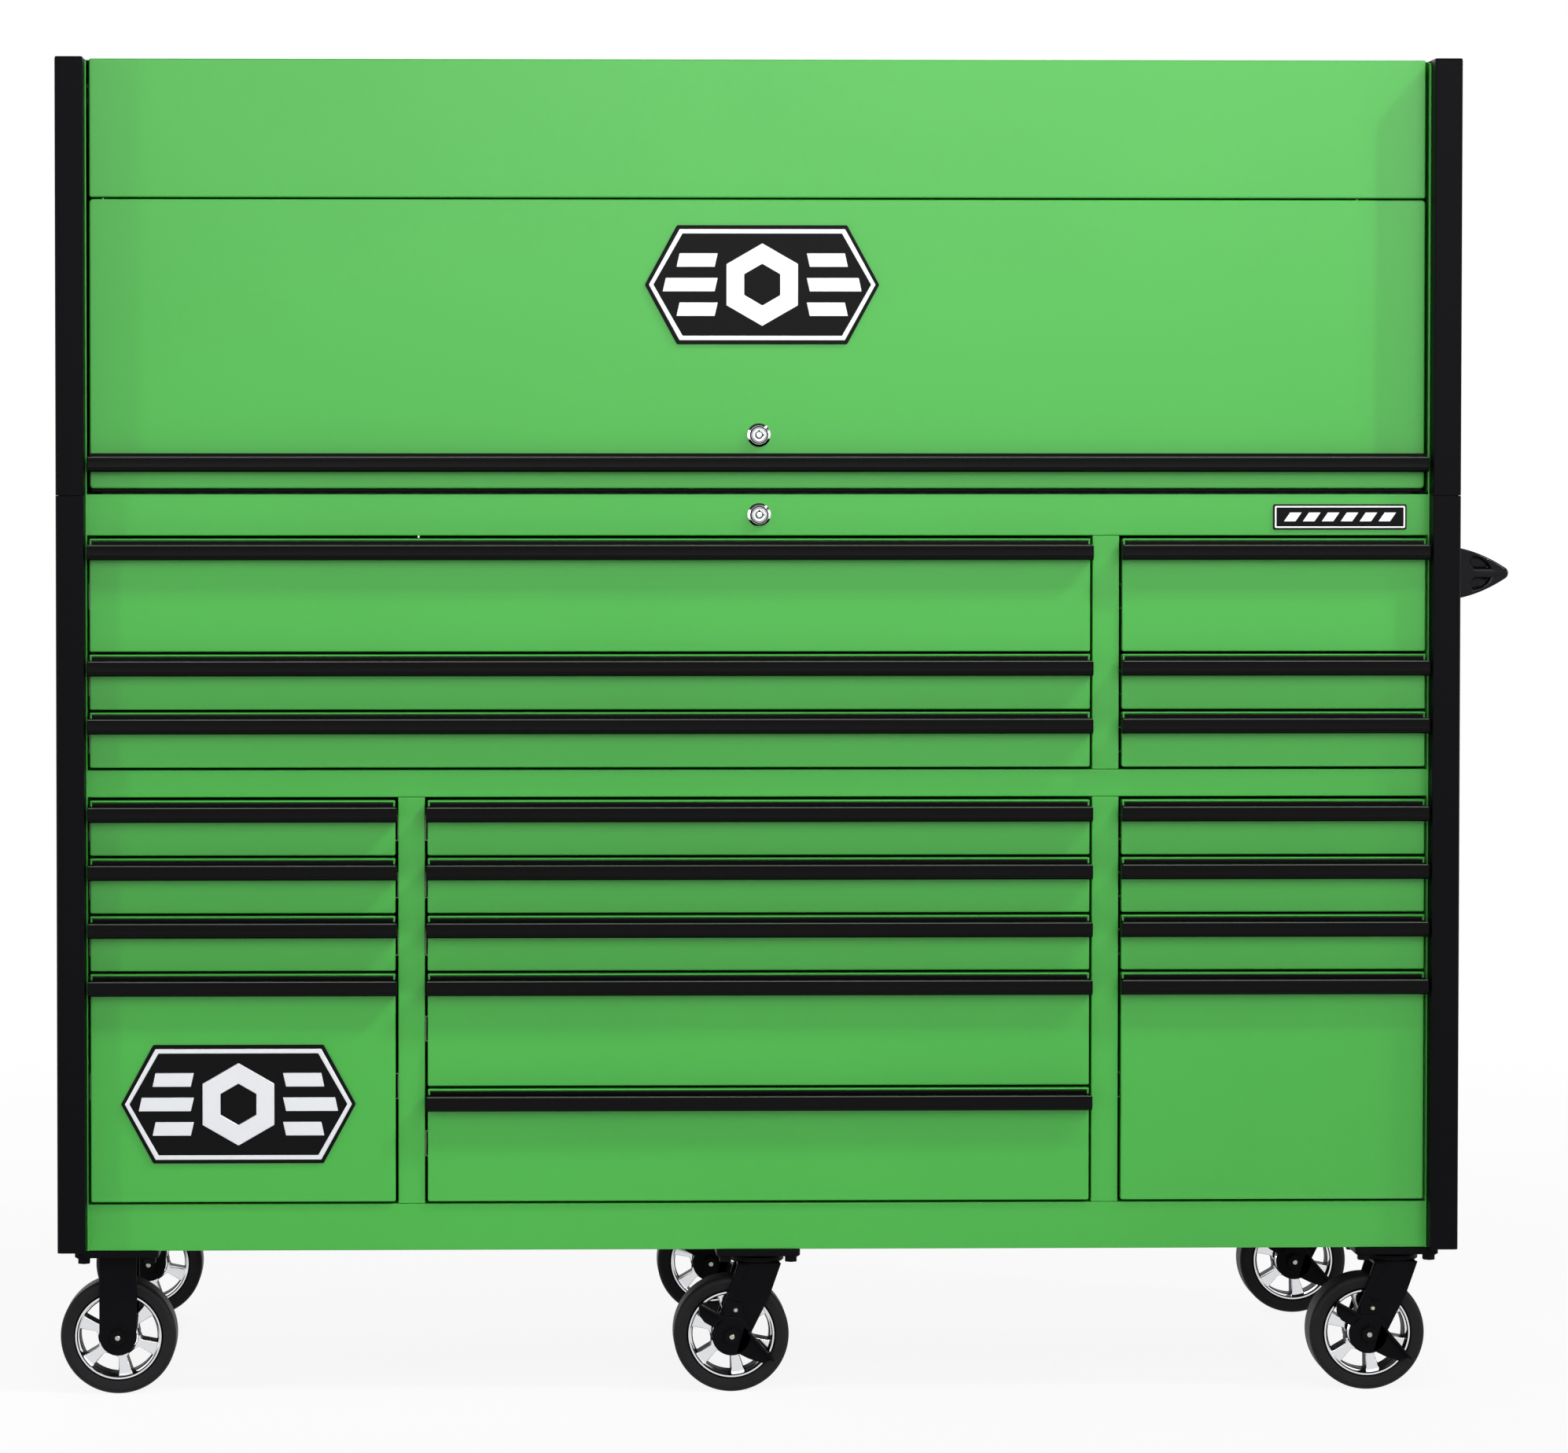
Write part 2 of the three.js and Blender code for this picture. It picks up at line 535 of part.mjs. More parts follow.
// The brake pedal is a rocker plate on the axle, with a lip on each wing.
function brakePedal() {
  const span = [-FORK_GAP - FORK_SHEET - 5, -FORK_GAP - FORK_SHEET - 0.6];
  const disc = rod('y', 26, span, [0, 0], 16);
  const front = prism('y', outline([[20, 8], [56, -31], [40, -36], [6, -21]]), span);
  const rear = prism('y', outline([[-12, 24], [-43, 43], [-41, 24], [-20, 10]]), span);
  const lipSpan = [span[0] - 12, span[1]];
  const frontLip = prism('y', outline([[22, 6], [56, -31], [54, -33], [20, 4]]), lipSpan);
  const rearLip = prism('y', outline([[-15, 25], [-43, 43], [-44, 41], [-16, 23]]), lipSpan);
  const bore = rod('y', 7, [-60, 0], [0, 0], 10);
  return cut(union(disc, front, rear, frontLip, rearLip), bore);
}

const [wheelSolid, swivelSolid, rigidSolid, pedalSolid] = [wheel(), swivelFork(), rigidFork(), brakePedal()];
const CASTERS = [['left', -CASTER_X, 'rigid'], ['centre', 0, 'swivel'], ['right', CASTER_X, 'swivel']];
for (const [end, y] of [['front', -CASTER_Y], ['rear', CASTER_Y]]) {
  for (const [place, x, kind] of CASTERS) {
    const axle = [kind === 'swivel' ? x - CASTER_TRAIL : x, y, WHEEL_RADIUS];
    add(`wheel_${place}_${end}`, wheelSolid, wheelRubber, axle);
    if (kind === 'rigid') {
      add(`rigid_fork_${end}`, rigidSolid, blackPowderCoat, axle);
    } else {
      add(`swivel_fork_${place}_${end}`, swivelSolid, blackPowderCoat, axle);
      add(`brake_pedal_${place}_${end}`, pedalSolid, blackPowderCoat, axle);
    }
  }
}

export default chest;
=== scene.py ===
# A 72-inch steel roller cabinet with nineteen drawers, and the hutch that stands on it.
# Sizes are in millimetres, and make() turns them to metres. Front is towards -Y, +Z is up.
import json
import bmesh
import bpy
import numpy as np
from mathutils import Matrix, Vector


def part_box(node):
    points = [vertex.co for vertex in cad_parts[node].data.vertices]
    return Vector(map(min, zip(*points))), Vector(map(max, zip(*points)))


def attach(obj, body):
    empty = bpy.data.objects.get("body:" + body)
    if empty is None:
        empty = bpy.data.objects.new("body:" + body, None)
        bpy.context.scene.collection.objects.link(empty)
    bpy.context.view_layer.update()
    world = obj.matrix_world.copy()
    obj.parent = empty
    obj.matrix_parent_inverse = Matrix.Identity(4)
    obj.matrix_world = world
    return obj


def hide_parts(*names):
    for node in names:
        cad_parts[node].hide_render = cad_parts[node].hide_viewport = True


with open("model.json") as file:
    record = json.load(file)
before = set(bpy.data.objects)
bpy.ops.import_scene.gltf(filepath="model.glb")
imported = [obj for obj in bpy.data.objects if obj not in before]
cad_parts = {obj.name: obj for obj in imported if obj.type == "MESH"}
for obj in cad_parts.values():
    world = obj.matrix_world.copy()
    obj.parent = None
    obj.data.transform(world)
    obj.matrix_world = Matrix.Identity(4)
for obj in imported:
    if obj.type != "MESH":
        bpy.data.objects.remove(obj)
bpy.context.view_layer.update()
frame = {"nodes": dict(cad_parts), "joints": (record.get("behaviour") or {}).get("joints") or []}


# ---- floor, camera and lights ----
# A pale floor that fades to white, a long lens in front of the chest's left half, broad soft light
# from the front, and a narrow spot high on the right that casts the guard's shadow on the valance.
CAMERA_PLACE = (-0.401, -6.839, 1.210)
CAMERA_LENS = 114.2
CAMERA_TURN = 1.10             # degrees towards +X
CAMERA_TILT = 1.48             # degrees down
CAMERA_SHIFT = (0.1308, -0.0800)
FLOOR_HALF = 60.0
FLOOR_FADE = (1.4, 4.0)        # metres from the chest, from floor to plain white
FLOOR_GLOW = 0.90              # how white it is under the chest
WORLD_LIGHT = 0.10             # the room, as a fill
HORIZON_LIGHT = 1.35           # the walls, as bright finishes mirror them
CEILING_LIGHT = 0.04
HORIZON_HEIGHTS = (0.30, 0.55)  # where the walls give way to the ceiling, as a ray's rise


def linear(colour):
    """sRGB hex to linear: c / 12.92 up to 0.04045, and ((c + 0.055) / 1.055) ^ 2.4 above it."""
    c = np.array([int(colour[i:i + 2], 16) for i in (1, 3, 5)]) / 255
    return (*np.where(c <= 0.04045, c / 12.92, ((c + 0.055) / 1.055) ** 2.4), 1.0)


def add_node(tree, kind, inputs=None, **settings):
    """Adds a node with its settings, and fills its sockets with values or with other nodes' outputs."""
    made = tree.nodes.new(kind)
    for setting, value in settings.items():
        setattr(made, setting, value)
    for socket, value in (inputs or {}).items():
        if isinstance(value, bpy.types.NodeSocket):
            tree.links.new(value, made.inputs[socket])
        else:
            made.inputs[socket].default_value = value
    return made


def new_material(name, colour, sockets):
    """A material with its Principled shader set, and the tree and shader to add to."""
    material = bpy.data.materials.new(name)
    material.use_nodes = True
    shader = material.node_tree.nodes["Principled BSDF"]
    shader.inputs["Base Color"].default_value = linear(colour)
    for socket, value in sockets.items():
        shader.inputs[socket].default_value = value
    return material, material.node_tree, shader


def aim(thing, target):
    """Turns a light so that its -Z axis points at the target."""
    away = np.array(thing.location) - np.array(target)
    across = np.hypot(away[0], away[1])
    thing.rotation_euler = (np.arctan2(across, away[2]), 0, np.arctan2(away[0], -away[1]))


def add_light(name, kind, place, target, power, **settings):
    light = bpy.data.lights.new(name, kind)
    light.energy = power
    for setting, value in settings.items():
        setattr(light, setting, value)
    holder = bpy.data.objects.new(name, light)
    holder.location = place
    aim(holder, target)
    bpy.context.scene.collection.objects.link(holder)


camera = bpy.data.cameras.new("camera")
camera.lens = CAMERA_LENS
camera.shift_x, camera.shift_y = CAMERA_SHIFT
camera.clip_end = 200.0
viewer = bpy.data.objects.new("camera", camera)
viewer.location = CAMERA_PLACE
viewer.rotation_euler = np.radians((90 - CAMERA_TILT, 0, -CAMERA_TURN))
bpy.context.scene.collection.objects.link(viewer)
bpy.context.scene.camera = viewer

TARGET = (0.0, 0.0, 0.95)
SPOT_TARGET = (0.5, -0.35, 1.7)
STRIP_TARGET = (0.7, -0.3, 1.0)
SOFTBOXES = [
    ("front_softbox", (0.9, -4.6, 3.0), TARGET, 80, 4.6, 2.2),
    ("top_strip", (0.7, -2.1, 4.6), STRIP_TARGET, 48, 4.4, 0.22),
    ("front_card", (0.9, -8.2, 2.8), TARGET, 86, 7.0, 2.3),
    ("left_strip", (-4.6, -2.2, 1.6), TARGET, 44, 0.3, 3.4),
    ("right_strip", (5.2, -2.0, 1.6), TARGET, 26, 0.3, 3.4),
    ("rear_softbox", (-1.0, 5.5, 3.8), TARGET, 130, 5.0, 2.6),
]
add_light("high_key", "SUN", (4.0, -1.9, 5.2), TARGET, 0.45, angle=np.radians(2.5))
add_light("upper_spot", "SPOT", (5.2, -2.55, 6.9), SPOT_TARGET, 1000,
          spot_size=0.27, spot_blend=1.0, shadow_soft_size=0.12)
for name, place, target, power, width, height in SOFTBOXES:
    add_light(name, "AREA", place, target, power, shape="RECTANGLE", size=width, size_y=height)

world = bpy.data.worlds.new("studio")
world.use_nodes = True
bpy.context.scene.world = world
sky = world.node_tree
sky.nodes.clear()
path = add_node(sky, "ShaderNodeLightPath")
direction = add_node(sky, "ShaderNodeTexCoord").outputs["Generated"]
rise = add_node(sky, "ShaderNodeSeparateXYZ", {"Vector": direction}).outputs["Z"]
walls = {"Value": rise, "From Min": HORIZON_HEIGHTS[0], "From Max": HORIZON_HEIGHTS[1],
         "To Min": HORIZON_LIGHT, "To Max": CEILING_LIGHT}
mirrored = add_node(sky, "ShaderNodeMapRange", walls)
unseen = add_node(sky, "ShaderNodeMix", {0: path.outputs["Is Glossy Ray"], 2: WORLD_LIGHT,
                                         3: mirrored.outputs[0]})
level = add_node(sky, "ShaderNodeMix", {0: path.outputs["Is Camera Ray"], 2: unseen.outputs[0], 3: 1.0})
studio = add_node(sky, "ShaderNodeBackground", {"Color": (1, 1, 1, 1), "Strength": level.outputs[0]})
add_node(sky, "ShaderNodeOutputWorld", {"Surface": studio.outputs[0]})

floor_mesh = bpy.data.meshes.new("floor")
edge = FLOOR_HALF
floor_corners = [(-edge, -edge, 0), (edge, -edge, 0), (edge, edge, 0), (-edge, edge, 0)]
floor_mesh.from_pydata(floor_corners, [], [(0, 1, 2, 3)])
floor = bpy.data.objects.new("floor", floor_mesh)
bpy.context.scene.collection.objects.link(floor)
paint, tree, shader = new_material("matt white studio floor", "#f4f4f2", {"Roughness": 0.7})
place = add_node(tree, "ShaderNodeTexCoord").outputs["Object"]
distance = add_node(tree, "ShaderNodeVectorMath", {0: place}, operation="LENGTH").outputs["Value"]
fade = add_node(tree, "ShaderNodeMapRange", {"Value": distance, "To Min": FLOOR_GLOW,
                                             "From Min": FLOOR_FADE[0], "From Max": FLOOR_FADE[1]})
path = add_node(tree, "ShaderNodeLightPath")
seen = add_node(tree, "ShaderNodeMath", {0: path.outputs["Is Camera Ray"], 1: path.outputs["Is Glossy Ray"]},
                operation="MAXIMUM")
share = add_node(tree, "ShaderNodeMath", {0: fade.outputs[0], 1: seen.outputs[0]}, operation="MULTIPLY")
glow = add_node(tree, "ShaderNodeEmission", {"Color": (1, 1, 1, 1), "Strength": 1.0})
blend = add_node(tree, "ShaderNodeMixShader", {0: share.outputs[0], 1: shader.outputs[0], 2: glow.outputs[0]})
tree.links.new(blend.outputs[0], tree.nodes["Material Output"].inputs["Surface"])
floor_mesh.materials.append(paint)

view = bpy.context.scene.view_settings
view.view_transform = "Standard"
view.look = "None"


# ---- face frame ----
# Channels of 1.5 mm cold-rolled steel round the drawer openings, spot-welded together. The rails
# run the whole width and the dividers stop against them, so a hairline shows at each end.
CLEAR = 3.5                    # from a drawer face to the opening round it
TOP_CLEAR = 4.0
OVERHANG = 2.0                 # of a pull past its drawer's face
FRAME_BEND = 1.2
STILE_SETBACK = 11.0           # of the outer stiles behind the rails
HAIRLINE = 0.35

GREEN = "#43b141"
PEEL = 4.5                     # a real peel is 1 to 3 mm, drawn coarser so that it shows
FILM = 260.0                   # slow change in the film's thickness
MM = 0.001


def arc(centre, radius, start, end, steps=4):
    """Points on a circle: the centre plus radius times (cos, sin), from start to end in degrees."""
    turn = np.radians(np.linspace(start, end, steps + 1))
    return np.array(centre) + radius * np.stack([np.cos(turn), np.sin(turn)], -1)


def rounded(low, high, radius):
    """A rectangle's outline with a quarter circle at each corner."""
    inner = [(high[0] - radius, high[1] - radius), (low[0] + radius, high[1] - radius),
             (low[0] + radius, low[1] + radius), (high[0] - radius, low[1] + radius)]
    return np.vstack([arc(centre, radius, 90 * k, 90 * k + 90) for k, centre in enumerate(inner)])


def loft(rings, looped=False):
    """A closed surface over a grid: row i is ring i, each ring closes on itself, and quads join
    every ring to the next. The first and last rings are filled flat, or joined when looped."""
    rings = np.asarray(rings, float)
    rows, columns = rings.shape[:2]
    row = np.arange(rows if looped else rows - 1)[:, None] * columns
    column = np.arange(columns)
    after = (column + 1) % columns
    above = (row + columns) % (rows * columns)
    quads = np.stack(np.broadcast_arrays(row + column, row + after, above + after, above + column), -1)
    caps = [] if looped else [column[::-1], column + (rows - 1) * columns]
    return rings.reshape(-1, 3), quads.reshape(-1, 4), caps


def dished(low, high, corner, profile, axis):
    """A profile carried round a rounded rectangle: each profile point (inset, level) gives a ring,
    the rectangle drawn in by the inset, at that level along the axis."""
    across = [k for k in range(3) if k != axis]
    low, high = np.array(low, float), np.array(high, float)
    rings = []
    for inset, level in profile:
        outline = rounded(low + inset, high - inset, max(corner - inset, 0.05))
        ring = np.full((len(outline), 3), level, float)
        ring[:, across] = outline
        rings.append(ring)
    return loft(rings)


def bar(low, high, axis, corner, edge=None):
    """A solid bar along an axis: rounded corners across it, and both ends drawn in by an arc."""
    edge = edge or corner
    low, high = np.array(low, float), np.array(high, float)
    start = arc((edge, low[axis] + edge), edge, 270, 180)
    end = arc((edge, high[axis] - edge), edge, 180, 90)
    return dished(np.delete(low, axis), np.delete(high, axis), corner, np.vstack([start, end]), axis)


def pan(low, high, axis, front, back, bend, sheet, corner):
    """A folded sheet: a flat face, an arc of the bend's radius, a flange, and the same again inside."""
    way = np.sign(back - front)
    centre = (bend, front + way * bend)
    outside = arc(centre, bend, -90 * way, -90 * way - 90 * way)
    inside = arc(centre, bend - sheet, -180 * way, -90 * way)
    profile = np.vstack([outside, [(0, back), (sheet, back)], inside])
    return dished(low, high, corner, profile, axis)


def joined(*shapes):
    """Several shapes as one: each one's faces count on from the points before it."""
    starts = np.cumsum([0] + [len(points) for points, _, _ in shapes])
    return (np.vstack([points for points, _, _ in shapes]),
            np.vstack([quads + start for (_, quads, _), start in zip(shapes, starts)]),
            [cap + start for (_, _, caps), start in zip(shapes, starts) for cap in caps])


def corners(node):
    """A CAD node's lowest and highest corners, in millimetres."""
    return tuple(np.array(corner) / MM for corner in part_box(node))


def outward_mesh(name, shape):
    """A shape as a mesh in metres, with its faces pointing out."""
    points, quads, caps = shape
    mesh = bpy.data.meshes.new(name)
    mesh.from_pydata(points * MM, [], quads.tolist() + [cap.tolist() for cap in caps])
    skin = bmesh.new()
    skin.from_mesh(mesh)
    bmesh.ops.recalc_face_normals(skin, faces=skin.faces)
    skin.to_mesh(mesh)
    skin.free()
    return mesh


def make(name, shape, material, body="chest", bevel=0.0, replaced=(), sharp=35):
    """Makes a piece of a shape and rides it on its body."""
    mesh = outward_mesh(name, shape)
    mesh.shade_smooth()
    mesh.set_sharp_from_angle(angle=np.radians(sharp))
    mesh.materials.append(material)
    piece = bpy.data.objects.new(name, mesh)
    bpy.context.scene.collection.objects.link(piece)
    if bevel:
        soften = piece.modifiers.new("softened edges", "BEVEL")
        soften.width = bevel * MM
        soften.segments = 2
        soften.angle_limit = np.radians(sharp)
    even = piece.modifiers.new("even shading", "WEIGHTED_NORMAL")
    even.keep_sharp = True
    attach(piece, body)
    if replaced:
        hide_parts(*replaced)
    return piece


def grain(tree, scale, detail, stretch=None):
    """Noise in the piece's own metres, as much finer along each axis as the stretch says."""
    place = add_node(tree, "ShaderNodeTexCoord").outputs["Object"]
    if stretch:
        place = add_node(tree, "ShaderNodeMapping", {"Vector": place, "Scale": stretch}).outputs[0]
    noise = add_node(tree, "ShaderNodeTexNoise", {"Vector": place, "Scale": scale, "Detail": detail})
    return noise.outputs[0]


def vary_roughness(tree, shader, value, low, high):
    level = add_node(tree, "ShaderNodeMapRange", {"Value": value, "To Min": low, "To Max": high})
    tree.links.new(level.outputs[0], shader.inputs["Roughness"])


def vary_tone(tree, shader, value, dark, light):
    tone = add_node(tree, "ShaderNodeMix", {"Factor": value, 6: linear(dark), 7: linear(light)},
                    data_type="RGBA")
    tree.links.new(tone.outputs[2], shader.inputs["Base Color"])


def raise_bumps(tree, shader, value, distance, strength):
    bump = add_node(tree, "ShaderNodeBump", {"Height": value, "Distance": distance, "Strength": strength})
    tree.links.new(bump.outputs[0], shader.inputs["Normal"])


def powder_coat(name, light, dark, sockets, lift):
    """Sprayed polyester powder cured in an oven: a satin film whose orange peel breaks up the
    reflections, and whose slightly uneven thickness shifts the tone by a few percent."""
    material, tree, shader = new_material(name, light, sockets)
    peel = grain(tree, 1000 / PEEL, 2.0)
    rough = sockets["Roughness"]
    vary_tone(tree, shader, grain(tree, 1000 / FILM, 1.0), dark, light)
    vary_roughness(tree, shader, peel, rough - 0.05, rough + 0.05)
    raise_bumps(tree, shader, peel, lift * MM, 1.0)
    return material


green_coat = powder_coat("green powder coat", GREEN, "#3fab3d", {"Roughness": 0.36}, 0.05)

frame_low, frame_high = corners("face_frame")
lower_left_low = corners("drawer_left_4")[0]
lower_left_high = corners("drawer_left_1")[1]
upper_low = corners("drawer_upper_wide_3")[0]
upper_high = corners("drawer_upper_wide_1")[1]
centre_low, centre_high = corners("drawer_centre_1")
right_low, right_high = corners("drawer_right_1")
bottom_rail_top = lower_left_low[2] - CLEAR
mid_rail = (lower_left_high[2] + TOP_CLEAR, upper_low[2] - CLEAR)
top_rail_bottom = upper_high[2] + TOP_CLEAR
opening_left = lower_left_low[0] + OVERHANG - CLEAR
opening_right = right_high[0] - OVERHANG + CLEAR
divider_left = (lower_left_high[0] - OVERHANG + CLEAR, centre_low[0] + OVERHANG - CLEAR)
divider_right = (centre_high[0] - OVERHANG + CLEAR, right_low[0] + OVERHANG - CLEAR)
middle_x = (opening_left + opening_right) / 2


def frame_bar(span_x, span_z, axis, setback=0.0):
    low = (span_x[0], frame_low[1] + setback, span_z[0])
    high = (span_x[1], frame_high[1], span_z[1])
    return bar(low, high, axis, FRAME_BEND)


RAILS = {
    "bottom_rail": (frame_low[2], bottom_rail_top),
    "mid_rail": mid_rail,
    "top_rail": (top_rail_bottom, frame_high[2]),
}
for name, span_z in RAILS.items():
    rail = frame_bar((frame_low[0], frame_high[0]), span_z, 0)
    make(name, rail, green_coat, replaced=["face_frame"] if name == "bottom_rail" else [])
lower_span = (bottom_rail_top + HAIRLINE, mid_rail[0] - HAIRLINE)
upper_span = (mid_rail[1] + HAIRLINE, top_rail_bottom - HAIRLINE)
UPRIGHTS = [
    ("stile_lower_left", (frame_low[0], opening_left), lower_span),
    ("stile_lower_right", (opening_right, frame_high[0]), lower_span),
    ("stile_upper_left", (frame_low[0], opening_left), upper_span),
    ("stile_upper_right", (opening_right, frame_high[0]), upper_span),
    ("divider_lower_left", divider_left, lower_span),
    ("divider_lower_right", divider_right, lower_span),
    ("divider_upper_right", divider_right, upper_span),
]
for name, span_x, span_z in UPRIGHTS:
    setback = STILE_SETBACK if name.startswith("stile") else 0.0
    make(name, frame_bar(span_x, span_z, 2, setback), green_coat)


# ---- cabinet casing ----
# Double-skinned side walls and partitions, a back in three panels with rolled beads and a row of
# screws down both sides of each, and a base tray under the lowest drawers.
PANEL_BEND = 2.0
BACK_SEAM = 1.2
BACK_SHEET = 0.9
BEAD_WIDTH = 14.0
BEAD_LIFT = 2.0
BEAD_START = 20.0              # from the panel's edge
SCREW_INSET = 14.0
SCREW_SEAT = 1.9


def turned(profile, centre, axis, sides=32, looped=False):
    """A profile turned round an axis: each point (radius, level) gives the ring of points
    radius times (cos, sin) at that level, measured from the centre."""
    profile = np.asarray(profile, float)
    turn = 2 * np.pi * np.arange(sides) / sides
    across = [k for k in range(3) if k != axis]
    rings = np.empty((len(profile), sides, 3))
    rings[..., across] = profile[:, :1, None] * np.stack([np.cos(turn), np.sin(turn)], -1)
    rings[..., axis] = profile[:, 1:]
    return loft(rings + np.array(centre), looped)


def repeated(shape, offsets):
    """The same shape at each offset."""
    return joined(*[(shape[0] + np.array(offset), shape[1], shape[2]) for offset in offsets])


def screw_head(axis, way):
    """A pan head: a low dome with a dimple in the middle, on the side that way points to."""
    profile = [(3.6, 0.0), (3.6, 0.8), (2.9, 1.6), (1.8, 1.9), (1.5, 1.1)]
    return turned([(radius, way * level) for radius, level in profile], (0, 0, 0), axis, 12)


zinc, tree, shader = new_material("zinc-plated steel", "#b4b2a8", {"Metallic": 1.0, "Roughness": 0.3})
# Electroplated zinc with a clear passivate: pale, with faint cloudy patches 8 mm across.
cloud = grain(tree, 125.0, 3.0)
vary_tone(tree, shader, cloud, "#9c9a92", "#c6c4b8")
vary_roughness(tree, shader, cloud, 0.22, 0.42)

BLACK_SHEEN = {"Roughness": 0.42, "Specular IOR Level": 0.04}
black_coat = powder_coat("black powder coat", "#0d0c0f", "#0b0a0d", BLACK_SHEEN, 0.05)

for node in ("cabinet_side_left", "cabinet_side_right", "partition_left", "partition_right"):
    low, high = corners(node)
    if "partition" in node:
        span = divider_left if node.endswith("left") else divider_right
    else:
        span = (low[0], opening_left) if node.endswith("left") else (opening_right, high[0])
    shape = bar((span[0], low[1], low[2]), (span[1], high[1], high[2]), 0, PANEL_BEND, PANEL_BEND)
    make(node + "_skins", shape, green_coat, replaced=[node])

back_low, back_high = corners("cabinet_back")


def beaded_back(span_x, span_z, face, bead_heights):
    """A sheet with rolled beads: its level is the face plus, for each bead, a half cosine across it."""
    ramp = BEAD_START + np.array([0, 6, 12])
    columns = np.unique(np.concatenate([np.linspace(*span_x, 9), span_x[0] + ramp, span_x[1] - ramp]))
    near = np.linspace(-BEAD_WIDTH / 2, BEAD_WIDTH / 2, 7)
    heights = np.unique(np.concatenate([np.array(span_z)] + [height + near for height in bead_heights]))
    inset = np.minimum(columns - span_x[0], span_x[1] - columns) - BEAD_START
    along = np.clip(inset / 12, 0, 1)
    gap = np.abs(heights[:, None] - np.array(bead_heights)).min(1)
    lift = BEAD_LIFT * np.where(gap < BEAD_WIDTH / 2, np.cos(gap / BEAD_WIDTH * np.pi), 0)
    grid_x, grid_z = np.meshgrid(columns, heights)
    level = face - BEAD_LIFT + lift[:, None] * along[None, :]
    front = np.stack([grid_x, level, grid_z], -1)
    back = np.stack([grid_x, level - BACK_SHEET, grid_z], -1)
    rings = np.concatenate([back[:, :1], front, back[:, ::-1]], 1)
    return loft(rings)


def screwed_back(part, edges, span_z, face, bead_heights, screw_span, screw_count, node=None):
    """The panels between the edges, each with a row of screws down both sides."""
    for number, (left, right) in enumerate(zip(edges[:-1], edges[1:]), 1):
        span_x = (left + BACK_SEAM, right - BACK_SEAM)
        panel = beaded_back(span_x, span_z, face, bead_heights)
        replaced = [node] if node and number == 1 else []
        make(f"{part}_back_panel_{number}", panel, green_coat, replaced=replaced)
        rows = np.linspace(screw_span[0] + SCREW_INSET, screw_span[1] - SCREW_INSET, screw_count)
        places = [(x, face - SCREW_SEAT, z) for x in (span_x[0] + 9, span_x[1] - 9) for z in rows]
        make(f"{part}_back_screws_{number}", repeated(screw_head(1, 1), places), zinc)


divider_middles = [sum(span) / 2 for span in (divider_left, divider_right)]
back_span = (back_low[2], back_high[2])
screwed_back("cabinet", [back_low[0], *divider_middles, back_high[0]], back_span, back_high[1],
             np.linspace(*back_span, 8)[1:-1], back_span, 8, "cabinet_back")

tray_bottom = frame_low[2]
tray_low = (opening_left + 0.5, frame_high[1] + 0.3)
tray_high = (opening_right - 0.5, back_low[1] - 0.3)
base_tray = pan(tray_low, tray_high, 2, tray_bottom, bottom_rail_top - 3, 3.0, 2.0, 4.0)
make("base_tray", base_tray, black_coat, replaced=["cabinet_base"])


def recoat(node, material):
    """Gives a CAD node that still shows its finish."""
    materials = frame["nodes"][node].data.materials
    materials.clear()
    materials.append(material)


recoat("cabinet_top", green_coat)


# ---- drawer slides ----
# Ball-bearing slides of rolled zinc-plated strip: an outer channel on the wall and an inner one
# on the drawer, which leaves 70 mm of itself in the cabinet at full reach.
SLIDE_ROOM = 13.0
OUTER_HALF = 17.0
INNER_HALF = 12.0
INNER_ROOM = 5.4
OUTER_ROOM = 6.6
STRIP = 1.2
SLIDE_FRONT = 8.0              # behind the face frame
SLIDE_BACK = 342.0
TRAY_RISE = 3.0                # of a tray's bottom above its face's lower edge
RIM_DROP = 8.0                 # of a tray's rim below its face's upper edge

drawers = sorted(name for name in frame["nodes"] if name.startswith("drawer_"))


def slab(outline, span, axis):
    """An outline across the axis, carried along it between the two ends of the span."""
    across = [k for k in range(3) if k != axis]
    rings = np.empty((len(span), len(outline), 3))
    rings[..., across] = outline
    rings[..., axis] = np.array(span)[:, None]
    return loft(rings)


def channel(wall, way, room, half, middle):
    """A C section: the strip's web on the wall, and two flanges with turned-in lips."""
    side = np.array([(0, -half), (room, -half), (room, 3 - half), (room - STRIP, 3 - half),
                     (room - STRIP, STRIP - half), (STRIP, STRIP - half)])
    section = np.vstack([side, side[::-1] * (1, -1)])
    return section * (way, 1) + (wall, middle)


for name in drawers:
    low, high = corners(name)
    wall_left, wall_right = low[0] + OVERHANG - CLEAR, high[0] - OVERHANG + CLEAR
    middle = (low[2] + TRAY_RISE + high[2] - RIM_DROP) / 2
    depth = (frame_high[1] + SLIDE_FRONT, SLIDE_BACK)
    outers = [slab(channel(wall, way, OUTER_ROOM, OUTER_HALF, middle), depth, 1)
              for wall, way in ((wall_left, 1), (wall_right, -1))]
    make("outer_slides_" + name, joined(*outers), zinc)
    inner_depth = (frame_high[1] - 10, SLIDE_BACK - 4)
    inners = [slab(channel(wall, way, INNER_ROOM, INNER_HALF, middle), inner_depth, 1)
              for wall, way in ((wall_left + SLIDE_ROOM, -1), (wall_right - SLIDE_ROOM, 1))]
    make("inner_slides_" + name, joined(*inners), zinc, name)


